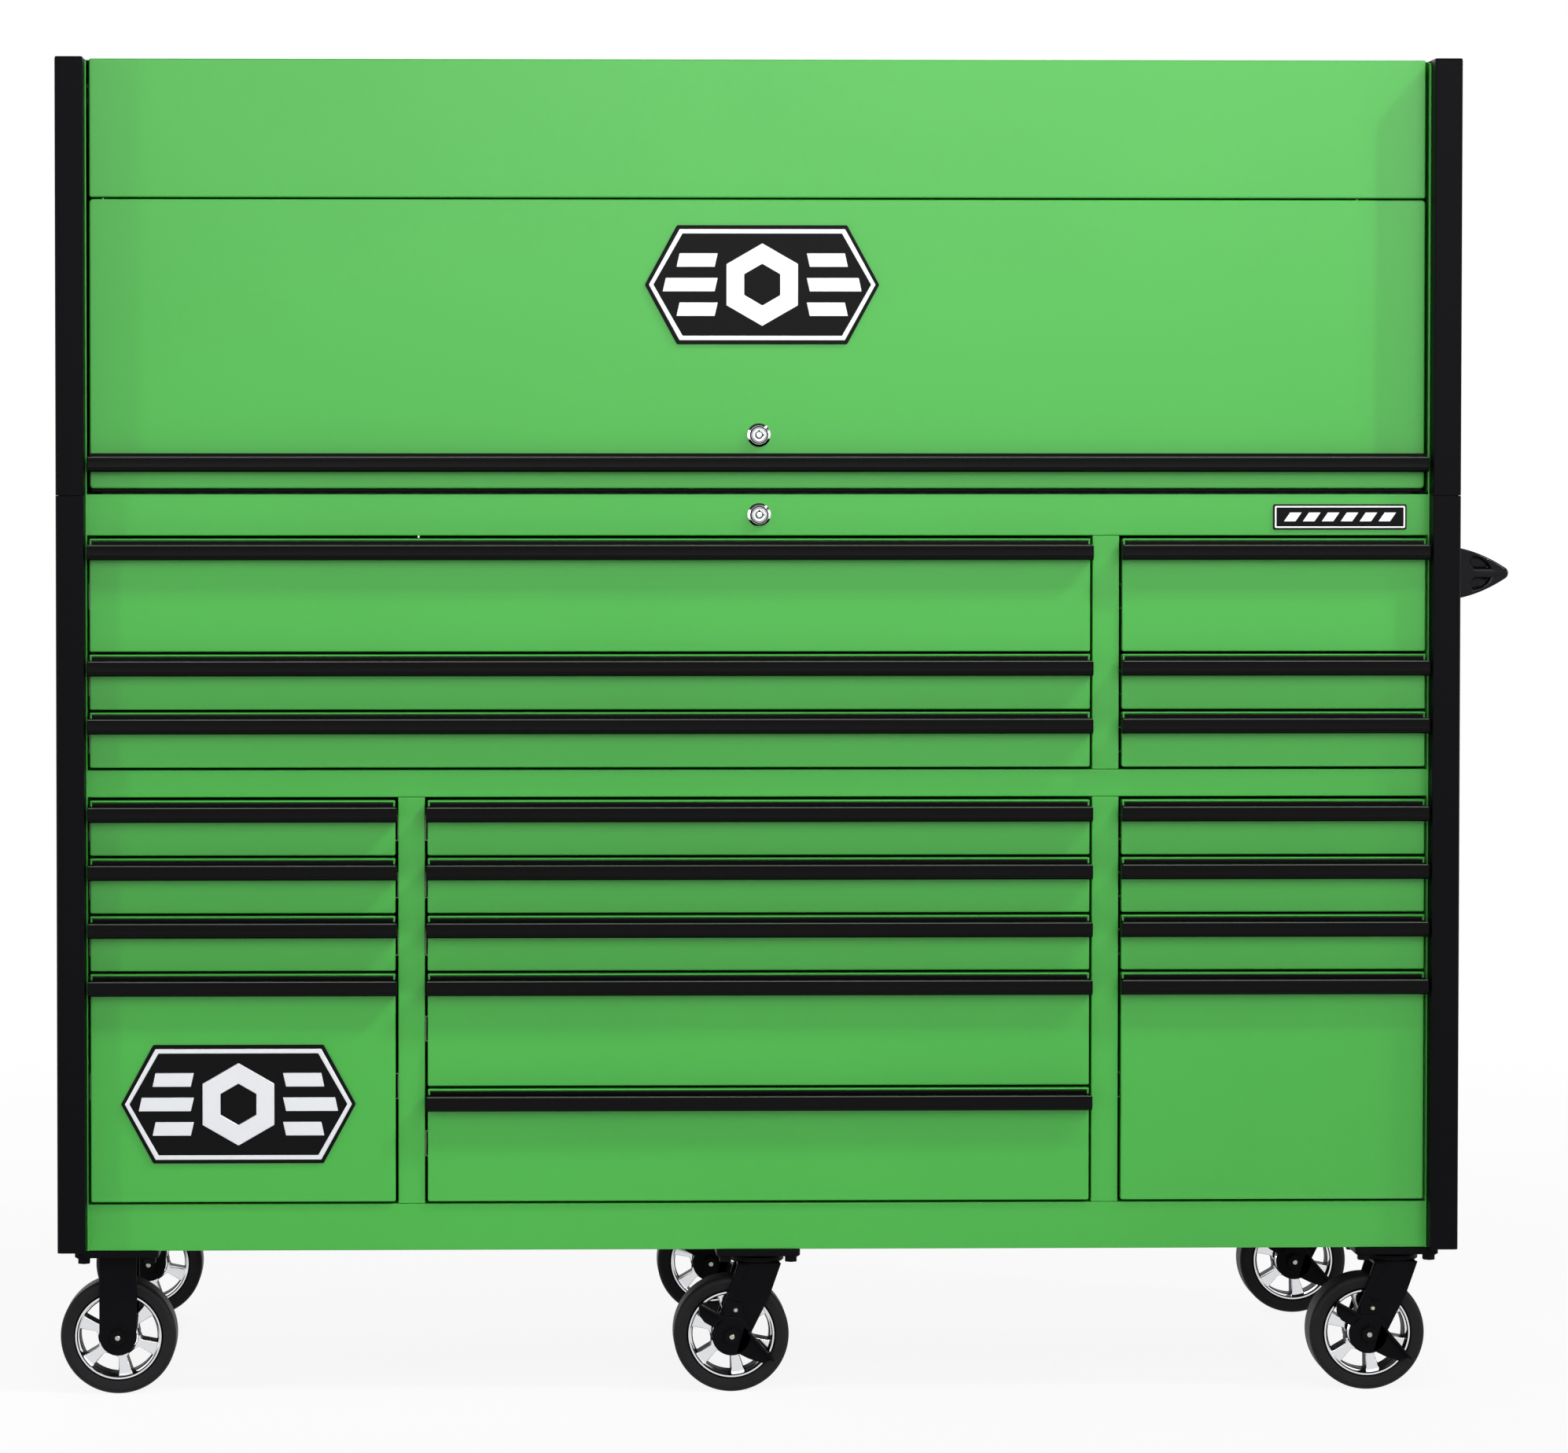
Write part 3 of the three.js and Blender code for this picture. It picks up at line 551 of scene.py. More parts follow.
# ---- drawer faces and trays ----
# Each face is folded back on all four sides, with a rolled lip along its top edge. The tray behind
# it is one folded sheet with a hemmed rim, and a ribbed foam liner lies in it.
PULL_REACH = 22.5
FACE_RETURN = 14.0
FACE_BEND = 1.7
FACE_SHEET = 1.2
FACE_CORNER = 2.4
LIP_RADIUS = 1.4
LIP_REACH = 2.6                # of the lip in front of the face
LIP_END = 8.0
TRAY_BEND = 2.5
TRAY_SHEET = 1.2
HEM_WIDTH = 3.2
HEM_DROP = 5.0
LINER = 2.2

MATT_FOAM = {"Roughness": 0.85, "Specular IOR Level": 0.1}
liner_foam, tree, shader = new_material("ribbed EVA foam liner", "#242527", MATT_FOAM)
# Embossed closed-cell foam: matt dark grey, with ribs every 5 mm and a fine cellular grain.
place = add_node(tree, "ShaderNodeTexCoord").outputs["Object"]
ribs = add_node(tree, "ShaderNodeTexWave", {"Vector": place, "Scale": 1000 / 5.0 / 20, "Distortion": 0.0},
                bands_direction="X").outputs[1]
relief = add_node(tree, "ShaderNodeMath", {0: grain(tree, 700.0, 2.0), 1: 0.2, 2: ribs},
                  operation="MULTIPLY_ADD")
raise_bumps(tree, shader, relief.outputs[0], 0.0006, 0.8)
# The ribs' tone follows their relief, darker in the troughs and lighter on the crests: painted shade and
# painted highlight.
vary_tone(tree, shader, ribs, "#1c1d1f", "#2e2f32")


def drawer_face(left, right, bottom, top, front):
    """The folded face, with the lip as a round bar on its top edge that turns down at both ends."""
    face = pan((left, bottom), (right, top), 1, front, front + FACE_RETURN, FACE_BEND, FACE_SHEET,
               FACE_CORNER)
    wide = 2 * LIP_RADIUS
    lip = bar((left + 0.4, front - LIP_REACH, top - wide), (right - 0.4, front + 2.0, top), 0,
              LIP_RADIUS, 0.6)
    ends = [bar((x, front - LIP_REACH + 0.3, top - LIP_END), (x + wide, front + 2.0, top - 0.4), 2,
                LIP_RADIUS - 0.2, 0.6) for x in (left + 0.4, right - 0.4 - wide)]
    return joined(face, lip, *ends)


def hemmed_tray(low, high, bottom, rim):
    """The tray's wall, from the outside bottom up, over the rolled rim, and down the inside."""
    over = arc((HEM_WIDTH / 2, rim - HEM_WIDTH / 2), HEM_WIDTH / 2, 180, 0)
    profile = np.vstack([
        arc((TRAY_BEND, bottom + TRAY_BEND), TRAY_BEND, 270, 180),
        over,
        [(HEM_WIDTH, rim - HEM_DROP), (TRAY_SHEET, rim - HEM_DROP)],
        arc((TRAY_BEND, bottom + TRAY_BEND), TRAY_BEND - TRAY_SHEET, 180, 270),
    ])
    return dished(low, high, 3.0, profile, 2)


for name in drawers:
    low, high = corners(name)
    left, right = low[0] + OVERHANG, high[0] - OVERHANG
    front = low[1] + PULL_REACH
    face = drawer_face(left, right, low[2], high[2], front)
    make("face_" + name, face, green_coat, name, replaced=[name])
    tray_low = np.array([left - CLEAR + SLIDE_ROOM, front + 2.0])
    tray_high = np.array([right + CLEAR - SLIDE_ROOM, high[1]])
    tray_floor = low[2] + TRAY_RISE
    make("tray_" + name, hemmed_tray(tray_low, tray_high, tray_floor, high[2] - RIM_DROP), green_coat, name)
    liner_low = (*(tray_low + 4), tray_floor + TRAY_SHEET + 0.05)
    liner_high = (*(tray_high - 4), tray_floor + TRAY_SHEET + LINER)
    make("liner_" + name, bar(liner_low, liner_high, 2, 5.0, 0.7), liner_foam, name)


# ---- drawer and door pulls ----
# A full-width J section of extruded aluminium, black anodised. Fingers reach down into its open
# top, and a moulded plate closes each end.
PULL_HEIGHT = 20.5
FLANGE_RISE = 4.2              # of the back flange above the bead
PULL_WALL = 2.0
PULL_DROP = 7.5
PULL_NOSE = 7.0
PULL_BEAD = 1.7
END_PLATE = 1.4
FLANGE = 1.6
WALL_LEAN = 0.62               # the share of the height where the wall starts to lean
OUTER_POINTS = 12              # of the J, from the back round the nose to the bead

DYED = {"Roughness": 0.2, "Specular IOR Level": 0.07}
anodised, tree, shader = new_material("black anodised aluminium", "#0a090a", DYED)
# Extruded, lightly brushed and dyed: nearly black, with die lines along X about 1.5 mm apart.
die_lines = grain(tree, 1.0, 3.0, (0.6, 650.0, 650.0))
vary_roughness(tree, shader, die_lines, 0.15, 0.26)
raise_bumps(tree, shader, die_lines, 0.00003, 1.0)

bead_finish, tree, shader = new_material("burnished black anodising", "#0f0d0e", {"Specular IOR Level": 0.7})
# The rolled top edge, polished by hands: a clean narrow highlight, a little uneven every 40 mm.
vary_roughness(tree, shader, grain(tree, 25.0, 2.0), 0.08, 0.2)

MOULDED = {"Roughness": 0.5, "Specular IOR Level": 0.06}
end_plastic, tree, shader = new_material("moulded black ABS", "#0b0a0c", MOULDED)
# Injection moulded with a fine spark texture, 0.8 mm grain.
raise_bumps(tree, shader, grain(tree, 1250.0, 2.0), 0.00003, 0.8)


def pull_section(front, top):
    """The J: a slightly leaning wall, a nose arc, the floor, and a flange up the drawer's face."""
    low = top - PULL_HEIGHT
    lean = low + WALL_LEAN * PULL_HEIGHT
    back = front + PULL_REACH - 0.3
    head = np.array([(front, top - PULL_BEAD), (front + 1.2, top - 1.6), (front + 2.4, top - PULL_BEAD)])
    nose = (front + PULL_NOSE, low + PULL_NOSE)
    return np.vstack([
        [(back, low)],
        arc(nose, PULL_NOSE, 270, 180, 8),
        [(front + 0.4, lean)],
        head,
        [(front + PULL_WALL + 0.4, lean)],
        arc(nose, PULL_NOSE - PULL_WALL, 180, 270, 6),
        [(back - FLANGE, low + PULL_WALL), (back - FLANGE, top + FLANGE_RISE), (back, top + FLANGE_RISE)],
    ])


def end_outline(front, top):
    """The pull's outer line, closed by a straight back."""
    section = pull_section(front, top)
    return np.vstack([section[:OUTER_POINTS], [(section[0][0], top - 1)]])


def add_pull(name, left, right, front, top, body, replaced=()):
    length = (left + END_PLATE, right - END_PLATE)
    make(name, slab(pull_section(front, top), length, 0), anodised, body, replaced=replaced)
    bead = arc((front + PULL_BEAD, top - PULL_BEAD), PULL_BEAD, 0, 330, 11)
    make(name + "_bead", slab(bead, length, 0), bead_finish, body)
    outline = end_outline(front, top)
    plates = [slab(outline, (left, left + END_PLATE - 0.1), 0),
              slab(outline, (right - END_PLATE + 0.1, right), 0)]
    make(name + "_ends", joined(*plates), end_plastic, body, bevel=0.3)


for name in drawers:
    low, high = corners(name)
    add_pull("pull_" + name, low[0], high[0], low[1], high[2] - PULL_DROP, name)


# ---- corner guards ----
# Black J sections bent from 3 mm steel over each front corner, one on the cabinet and one on the
# hutch, which is closed by a cap. A sleeve behind the seam above the top rail joins the two, and a
# green bead runs up each guard's inner edge.
GUARD_SHEET = 3.0
GUARD_BEND = 5.0
GUARD_INNER = 2.5
JOINER_HALF = 16.0


def guard_section(inner, outer, front, face, back):
    """The J: from the inner edge forward, across the front, round the corner and back along the side."""
    way = np.sign(outer - inner)
    s = GUARD_SHEET
    bend, small = GUARD_BEND, GUARD_INNER
    return np.vstack([
        [(inner, face)],
        arc((inner + way * small, front + small), small, *((180, 270) if way > 0 else (0, -90))),
        arc((outer - way * bend, front + bend), bend, *((270, 360) if way > 0 else (270, 180))),
        [(outer, back), (outer - way * s, back)],
        arc((outer - way * bend, front + bend), bend - s, *((360, 270) if way > 0 else (180, 270))),
        [(inner + way * s, front + s), (inner + way * s, face)],
    ])


for side, way in (("left", -1), ("right", 1)):
    for part in ("cabinet", "hutch"):
        low, high = corners(f"{part}_guard_{side}")
        inner, outer = (low[0], high[0]) if way > 0 else (high[0], low[0])
        section = guard_section(inner, outer, low[1], frame_low[1] - 0.3, high[1])
        shape = slab(section, (low[2], high[2] - (0 if part == "cabinet" else 2)), 2)
        make(f"{part}_guard_{side}_section", shape, black_coat, bevel=0.5, replaced=[f"{part}_guard_{side}"])
    cap = bar((low[0] + 0.4, low[1] + 0.4, high[2] - 2.4), (high[0] - 0.4, high[1], high[2]), 2, 4.5, 0.8)
    make(f"guard_cap_{side}", cap, black_coat)
    trim_x = sorted((inner - way * 0.2, inner - way * 2.2))
    trim = bar((trim_x[0], frame_low[1] - 1.2, frame_low[2]), (trim_x[1], frame_low[1] + 1.0, high[2] - 4), 2,
               0.95, 0.6)
    make(f"edge_bead_{side}", trim, green_coat)
    inside = GUARD_SHEET + 0.4
    sleeve = bar((low[0] + inside, low[1] + inside, low[2] - JOINER_HALF),
                 (high[0] - 3.2, high[1] - 1.0, low[2] + JOINER_HALF), 2, 1.5, 0.8)
    make(f"guard_joiner_{side}", sleeve, black_coat)


# ---- hutch ----
# A case of folded sheet with a deep valance over its mouth. Its back is screwed on, a black mat
# covers its floor, and a black strip under the door is painted shade that darkens the gap there.
HUTCH_SHEET = 1.5
VALANCE_BEND = 2.0
shell_low, shell_high = corners("hutch_shell")
door_low, door_high = corners("hutch_door")
door_front = shell_low[1]
shell_bottom = shell_low[2]
valance_bottom = door_high[2] + 2.5
stile_back = door_front + 24
case_front = corners("hutch_guard_left")[1][1] + 0.3

for side, way, outer in (("left", 1, shell_low[0]), ("right", -1, shell_high[0])):
    inner = outer + way * HUTCH_SHEET
    span = sorted((outer, inner))
    side_sheet = bar((span[0], case_front, shell_bottom), (span[1], shell_high[1], shell_high[2]), 0,
                     1.5, 0.6)
    stile = sorted((outer + way * 6, door_low[0] - 5 if way > 0 else door_high[0] + 5))
    upright = bar((stile[0], door_front + 7, shell_bottom), (stile[1], stile_back, shell_high[2] - 2), 2, 1.2)
    make(f"hutch_side_{side}", side_sheet, green_coat)
    make(f"hutch_stile_{side}", upright, green_coat)

roof = bar((shell_low[0] + 2, stile_back - 2, shell_high[2] - HUTCH_SHEET),
           (shell_high[0] - 2, shell_high[1] - 2, shell_high[2]), 2, 2.0, 0.6)
make("hutch_roof", roof, green_coat, replaced=["hutch_shell"])
valance = pan((door_low[0], valance_bottom), (door_high[0], shell_high[2]), 1, door_front, stile_back,
              VALANCE_BEND, HUTCH_SHEET, 2.5)
make("valance", valance, green_coat)

# A black strip fills the gap under the door: painted shade, darker than the open gap would be.
gap_shade_strip = bar((door_low[0] + 2, door_front + 0.5, shell_bottom + 0.2),
           (door_high[0] - 2, door_front + 4, door_low[2] + 0.9), 0, 0.8)
make("door_gap_shade", gap_shade_strip, end_plastic)

shell_span = (shell_bottom, shell_high[2])
screwed_back("hutch", [shell_low[0] + 2, middle_x, shell_high[0] - 2], (shell_bottom, shell_high[2] - 2),
             shell_high[1], np.linspace(*shell_span, 5)[1:-1], shell_span, 5)

# Turned flanges lie over the seams of the back and the floor, so no light comes through them.
FLANGE_WIDTH = 18.0
floor_high = corners("hutch_floor")[1]
flange_y = (shell_high[1] - 4.4, shell_high[1] - 3.1)
flange_top = shell_high[2] - 3
foot = (floor_high[2] + 0.05, floor_high[2] + 14)
inner_left, inner_right = shell_low[0] + 2.3, shell_high[0] - 2.3
flanges = [bar((left, flange_y[0], foot[0]), (left + FLANGE_WIDTH, flange_y[1], flange_top), 2, 0.4)
           for left in (inner_left, middle_x - FLANGE_WIDTH / 2, inner_right - FLANGE_WIDTH)]
flanges.append(bar((inner_left, flange_y[0] - 1.3, foot[0]), (inner_right, flange_y[0] - 0.1, foot[1]), 0,
                   0.4))
for left in (inner_left, inner_right - 1.2):
    flanges.append(bar((left, stile_back + 2, foot[0]), (left + 1.2, flange_y[0] - 1.5, foot[1]), 1, 0.4))
make("hutch_flanges", joined(*flanges), green_coat)
recoat("hutch_floor", liner_foam)


# ---- hutch door ----
# A folded pan that hangs under the valance, with its own pull near the bottom edge and two
# stiffening channels welded behind it.
DOOR_BEND = 2.0
DOOR_CORNER = 5.0
DOOR_RETURN = 20.0
DOOR_GAP = 1.6                 # from the pull's underside to the pan
STIFFENER_HEIGHT = 60.0
STIFFENER_DEPTH = 12.0
STIFFENER_OFFSET = 90.0        # from the middle of the door
door_face = pan((door_low[0], door_low[2] + DOOR_GAP), (door_high[0], door_high[2]), 1, door_front,
                door_front + DOOR_RETURN, DOOR_BEND, HUTCH_SHEET, DOOR_CORNER)
make("door_panel", door_face, green_coat, "hutch_door", replaced=["hutch_door"])
door_middle = (door_low[2] + door_high[2]) / 2
sheet_back = door_front + HUTCH_SHEET
for number, height in enumerate((door_middle - STIFFENER_OFFSET, door_middle + STIFFENER_OFFSET), 1):
    half = STIFFENER_HEIGHT / 2
    stiffener = pan((door_low[0] + 40, height - half), (door_high[0] - 40, height + half), 1,
                    sheet_back + STIFFENER_DEPTH, sheet_back + 0.2, 3.0, HUTCH_SHEET, 3.5)
    make(f"door_stiffener_{number}", stiffener, green_coat, "hutch_door")
pull_low, pull_high = corners("door_pull")
add_pull("door_pull_section", pull_low[0], pull_high[0], pull_low[1] + 0.3, pull_high[2], "hutch_door",
         ["door_pull"])


# ---- gas struts ----
# A black nitrogen cylinder on each side with a hard-chromed rod; each end turns on a ball stud.
anchors = {joint["child"]: np.array(joint["pos_m"]) / MM for joint in frame["joints"] if "pos_m" in joint}
strokes = {joint["child"]: np.array(joint["axis"]) for joint in frame["joints"] if joint["type"] == "slide"}
CYLINDER_LENGTH = 108.0
STRUT_LENGTH = 203.1

chrome, tree, shader = new_material("chromium plate", "#dfe0e3", {"Metallic": 1.0, "Roughness": 0.07})
# Bright decorative plating: a mirror with the faintest haze, in patches 30 mm across.
vary_roughness(tree, shader, grain(tree, 33.0, 4.0), 0.04, 0.12)


def along(shape, start, direction):
    """Turns a shape that lies along Y into the direction, in the YZ plane, and moves it to the start."""
    points, quads, caps = shape
    x, y, z = points.T
    _, rise_y, rise_z = direction
    return np.stack([x, y * rise_y - z * rise_z, y * rise_z + z * rise_y], -1) + start, quads, caps


for side in ("left", "right"):
    start = anchors[f"strut_cylinder_{side}"]
    direction = strokes[f"strut_rod_{side}"]
    barrel = turned([(5.2, -4), (8.4, -4), (10, 0), (10, 100), (9.3, 102), (9.3, 105), (8, CYLINDER_LENGTH),
                     (5.2, CYLINDER_LENGTH)], (0, 0, 0), 1, 24)
    eye = turned([(3, -12), (6, -12), (8, -8), (8, 2), (6, 5), (3, 5)], (0, 0, 0), 1, 16)
    cylinder = f"strut_cylinder_{side}"
    make(f"gas_cylinder_{side}", along(joined(barrel, eye), start, direction), black_coat, cylinder,
         replaced=[cylinder])
    end = STRUT_LENGTH
    rod = turned([(3.6, 24), (4, 25), (4, end - 12), (7, end - 11), (7, end + 5), (5, end + 7)],
                 (0, 0, 0), 1, 20)
    make(f"gas_rod_{side}", along(rod, start, direction), chrome, f"strut_rod_{side}",
         replaced=[f"strut_rod_{side}"])


# ---- locks ----
# Tubular cam locks in chromed zinc: a stepped bezel that stays put, with a black collar in its step,
# and a plug that turns in it. A black ring and two ticks on the plug's face are painted shade of its keyway
# slot.
BEZEL_RADIUS = 15.4
PLUG_RADIUS = 9.2
for name, body, face in (("lock_hutch", "hutch_door", door_front), ("lock_cabinet", "chest", frame_low[1])):
    centre = np.array([anchors[name][0], face, anchors[name][2]])
    bezel = turned([(PLUG_RADIUS + 0.3, 2), (BEZEL_RADIUS, 0.1), (BEZEL_RADIUS, -1.8), (15.0, -2.2),
                    (12.5, -4.0), (12.2, -3.2), (11.0, -3.2), (10.4, -5.6), (10.0, -6.4),
                    (PLUG_RADIUS + 0.3, -6.4)],
                   centre, 1, 48, looped=True)
    make(name + "_bezel", bezel, chrome, body)
    plug = turned([(2.0, 8), (PLUG_RADIUS, 8), (PLUG_RADIUS, -6.2), (8.4, -7.2), (6.6, -7.2), (6.3, -4.6),
                   (4.7, -4.6), (4.4, -7.4), (3.6, -7.8), (2.0, -7.8)], centre, 1, 40)
    # The keyway slot drawn as a black ring proud of the plug's face: painted shade in place of a hole.
    keyway_shade = turned([(3.6, -5.0), (5.0, -5.0), (5.0, -7.95), (3.6, -7.95)], centre, 1, 40, looped=True)
    collar = turned([(10.5, -5.0), (11.8, -5.0), (11.8, -3.0), (10.5, -3.0)], centre, 1, 48, looped=True)
    ticks = [bar(centre + (-0.8, -7.9, 4.6), centre + (0.8, -5.4, 6.4), 1, 0.2),
             bar(centre + (4.6, -7.9, -0.8), centre + (6.4, -5.4, 0.8), 1, 0.2)]
    make(name + "_plug", plug, chrome, name, replaced=[name])
    make(name + "_keyway", joined(keyway_shade, *ticks), end_plastic, name)
    make(name + "_collar", collar, end_plastic, body)


# ---- plaques ----
# Die-cast plates, painted black with the raised parts wiped bright: two large ones with a hexagon
# between three slanting bars, and a small rectangular one on the top rail. They carry no lettering.
PLAQUE = (306.0, 155.0)
PLAQUE_BASE = 3.0
PLAQUE_RELIEF = 1.6
SMALL_PLAQUE = (175.0, 33.0)

CAST = {"Metallic": 0.55, "Roughness": 0.34}
satin_metal, tree, shader = new_material("satin nickel-plated zinc", "#dedfe3", CAST)
# Wiped and clear-lacquered casting: pale and soft, with a fine upright brushing 1 mm apart.
vary_roughness(tree, shader, grain(tree, 1.0, 2.0, (900.0, 900.0, 12.0)), 0.26, 0.46)

STOVED = {"Roughness": 0.3, "Specular IOR Level": 0.07}
plaque_black, tree, shader = new_material("baked black enamel", "#0b0b0d", STOVED)
# Stoved enamel over the casting: glossy, with slight ripples 6 mm across.
raise_bumps(tree, shader, grain(tree, 160.0, 1.0), 0.00004, 1.0)


def polygon(sides, radius, start=0.0):
    """The corners of a regular polygon."""
    turn = np.radians(start + 360 * np.arange(sides) / sides)
    return radius * np.stack([np.cos(turn), np.sin(turn)], -1)


def ring_slab(outer, inner, span, axis, centre):
    """A flat ring: the outer outline at both levels and the inner one at both, joined in a loop."""
    across = [k for k in range(3) if k != axis]
    rings = np.empty((4, len(outer), 3))
    low, high = span
    for ring, outline, level in zip(rings, (outer, outer, inner, inner), (low, high, high, low)):
        ring[:, across] = outline
        ring[:, axis] = level
    return loft(rings + np.array(centre), looped=True)


def long_hexagon(half_width, half_height, point):
    """A hexagon drawn out along X, with its points as long as the last size says."""
    upper = np.array([(half_width, 0), (half_width - point, half_height), (point - half_width, half_height)])
    return np.vstack([upper, -upper])


def add_plaque(name, centre, size, body):
    """A long hexagon with a bright border, a hexagon nut in its middle and three bars each side."""
    half_width, half_height = size[0] / 2, size[1] / 2
    base = slab(long_hexagon(half_width, half_height, 42), (-PLAQUE_BASE, -0.2), 1)
    make(name + "_plate", repeated(base, [centre]), plaque_black, body, bevel=1.2)
    raised = (-PLAQUE_BASE - PLAQUE_RELIEF, -PLAQUE_BASE + 0.4)
    border = (long_hexagon(half_width - 5, half_height - 5, 40),
              long_hexagon(half_width - 11, half_height - 11, 38))
    parts = [ring_slab(*border, raised, 1, (0, 0, 0)),
             ring_slab(polygon(6, 54, 30), polygon(6, 27, 30), raised, 1, (0, 0, 0))]
    for level, length in ((32, 56), (0, 74), (-32, 56)):
        stripe = np.array([(62, level - 9), (56 + length, level - 9),
                           (52 + length, level + 9), (58, level + 9)])
        parts += [slab(stripe * (way, 1), raised, 1) for way in (-1, 1)]
    make(name + "_relief", repeated(joined(*parts), [centre]), satin_metal, body, bevel=0.7)


badge_low, badge_high = corners("drawer_left_4")
drawer_front = badge_low[1] + PULL_REACH
badge_x = (badge_low[0] + badge_high[0]) / 2 - 6
add_plaque("door_plaque", (middle_x + 4, door_front, 1455), PLAQUE, "hutch_door")
add_plaque("drawer_plaque", (badge_x, drawer_front, 386), PLAQUE, "drawer_left_4")

nameplate = np.array([middle_x + 760, frame_low[1], 1152.0])
half = np.array(SMALL_PLAQUE) / 2
plate = slab(rounded(-half, half, 2.5), (-2.2, -0.1), 1)
make("nameplate_plate", repeated(plate, [nameplate]), plaque_black, bevel=0.5)
border = ring_slab(rounded(2 - half, half - 2, 1.6), rounded(4.2 - half, half - 4.2, 1.0), (-3.0, -2.0), 1,
                   nameplate)
slant = np.array([(-13, -6.5), (4, -6.5), (13, 6.5), (-4, 6.5)])
dashes = [slab(slant * 0.9 + (shift, 0), (-3.0, -2.0), 1) for shift in np.linspace(-62, 62, 6)]
make("nameplate_relief", joined(border, repeated(joined(*dashes), [nameplate])), satin_metal, bevel=0.25)


# ---- push handle ----
# A black tube between two die-cast brackets bolted to the right side. Each bracket is a fin with
# two pockets either side of a rib, and the tube seats in a collar.
POCKET_DEPTH = 9.0
FIN_EDGE = 3.0
NOSE_RADIUS = 8.5
GLOSS = {"Roughness": 0.16, "Specular IOR Level": 0.13}
gloss_black = powder_coat("gloss black powder coat", "#131018", "#0f0d13", GLOSS, 0.03)
bar_low, bar_high = corners("push_handle_bar")
bar_centre = (bar_low + bar_high) / 2


def fin_outline(base, nose, middle, half_height):
    """Two convex edges from the base to a round nose: each is a quadratic curve through a control
    point, (1 - t)^2 start + 2 t (1 - t) control + t^2 end."""
    t = np.linspace(0, 1, 13)[:, None]
    start = np.array((base, half_height))
    control = np.array((base + 0.46 * (nose - base), 0.97 * half_height))
    tip = arc((nose - NOSE_RADIUS, 0), NOSE_RADIUS, 62, -62, 8)
    upper = (1 - t) ** 2 * start + 2 * t * (1 - t) * control + t ** 2 * tip[0]
    lower = upper[::-1] * (1, -1)
    return np.vstack([upper[:-1], tip, lower[1:]]) + (0, middle)


def carve(piece, shape):
    """Cuts a shape out of a piece, with a Boolean applied to its mesh."""
    cutter = bpy.data.objects.new("cutter", outward_mesh("cutter", shape))
    bpy.context.scene.collection.objects.link(cutter)
    cut = piece.modifiers.new("pockets", "BOOLEAN")
    cut.object = cutter
    cut.operation = "DIFFERENCE"
    piece.modifiers.move(len(piece.modifiers) - 1, 0)
    for modifier in piece.modifiers:
        modifier.show_viewport = modifier.name == "pockets"
    ready = piece.evaluated_get(bpy.context.evaluated_depsgraph_get())
    carved = bpy.data.meshes.new_from_object(ready)
    piece.modifiers.remove(cut)
    for modifier in piece.modifiers:
        modifier.show_viewport = True
    piece.data = carved
    bpy.data.objects.remove(cutter)


for end, way in (("front", -1), ("rear", 1)):
    node = f"handle_bracket_{end}"
    low, high = corners(node)
    outside, inside = (low[1], high[1]) if way < 0 else (high[1], low[1])
    outline = fin_outline(low[0], high[0], bar_centre[2], (high[2] - low[2]) / 2)
    fin = make(node + "_fin", slab(outline, sorted((outside, inside)), 1), gloss_black, bevel=FIN_EDGE,
               replaced=[node], sharp=50)
    for side in (-1, 1):
        pocket = np.array([(low[0] + 40, side * 6), (low[0] + 62, side * 6), (low[0] + 58, side * 13),
                           (low[0] + 50, side * 19), (low[0] + 39, side * 22), (low[0] + 34, side * 14)])
        pocket = pocket + (0, bar_centre[2])
        depth = sorted((outside + way * 2, outside - way * POCKET_DEPTH))
        carve(fin, slab(pocket, depth, 1))
    collar = turned([(13, 0), (17.5, 0), (17.5, way * -9), (15.5, way * -11), (13, way * -11)],
                    (bar_centre[0], inside, bar_centre[2]), 1, 40, looped=True)
    make(node + "_collar", collar, gloss_black, bevel=0.6)
grip = turned([(8, bar_low[1]), (13.6, bar_low[1]), (13.9, bar_low[1] + 1), (13.9, bar_high[1] - 1),
               (13.6, bar_high[1]), (8, bar_high[1])], (bar_centre[0], 0, bar_centre[2]), 1, 48)
make("push_handle_tube", grip, black_coat, replaced=["push_handle_bar"])


# ---- wheels ----
# Six-inch casters: a black tyre bonded to a chromed die-cast rim with six windows 30 mm deep. A black
# core inside the windows, between the chromed faces, is painted shade that darkens their inner walls.
TYRE_RADIUS = 76.0
RIM_RADIUS = 57.6
WEB_HALF = 15.0
SHADE_CORE_HALF = 12.2               # the black core inside the chromed faces
SHADE_CORE_GROWTH = 0.35             # of its spokes past the chromed ones
HUB_RADIUS = 27.0
WINDOW_TURN = 10.0

RUBBER = {"Roughness": 0.5, "Specular IOR Level": 0.1}
tyre_rubber, tree, shader = new_material("moulded rubber tyre", "#1a191b", RUBBER)
# Moulded thermoplastic rubber: dark charcoal, satin, with a blasted mould's grain and a dusty tread.
vary_tone(tree, shader, grain(tree, 40.0, 3.0), "#19181a", "#242325")
raise_bumps(tree, shader, grain(tree, 420.0, 4.0), 0.0001, 0.8)


def tyre(centre):
    """The tyre's section, turned in a loop: sidewalls with a shallow step, and round shoulders."""
    side = np.vstack([[(RIM_RADIUS, -20), (59, -23.2), (61, -23.8), (69, -24.4)],
                      arc((69.5, -18), 6.5, -90, 0, 5)])
    side[-5:, 0] = np.minimum(side[-5:, 0], TYRE_RADIUS)
    return turned(np.vstack([side, side[::-1] * (1, -1)]), centre, 1, 96, looped=True)


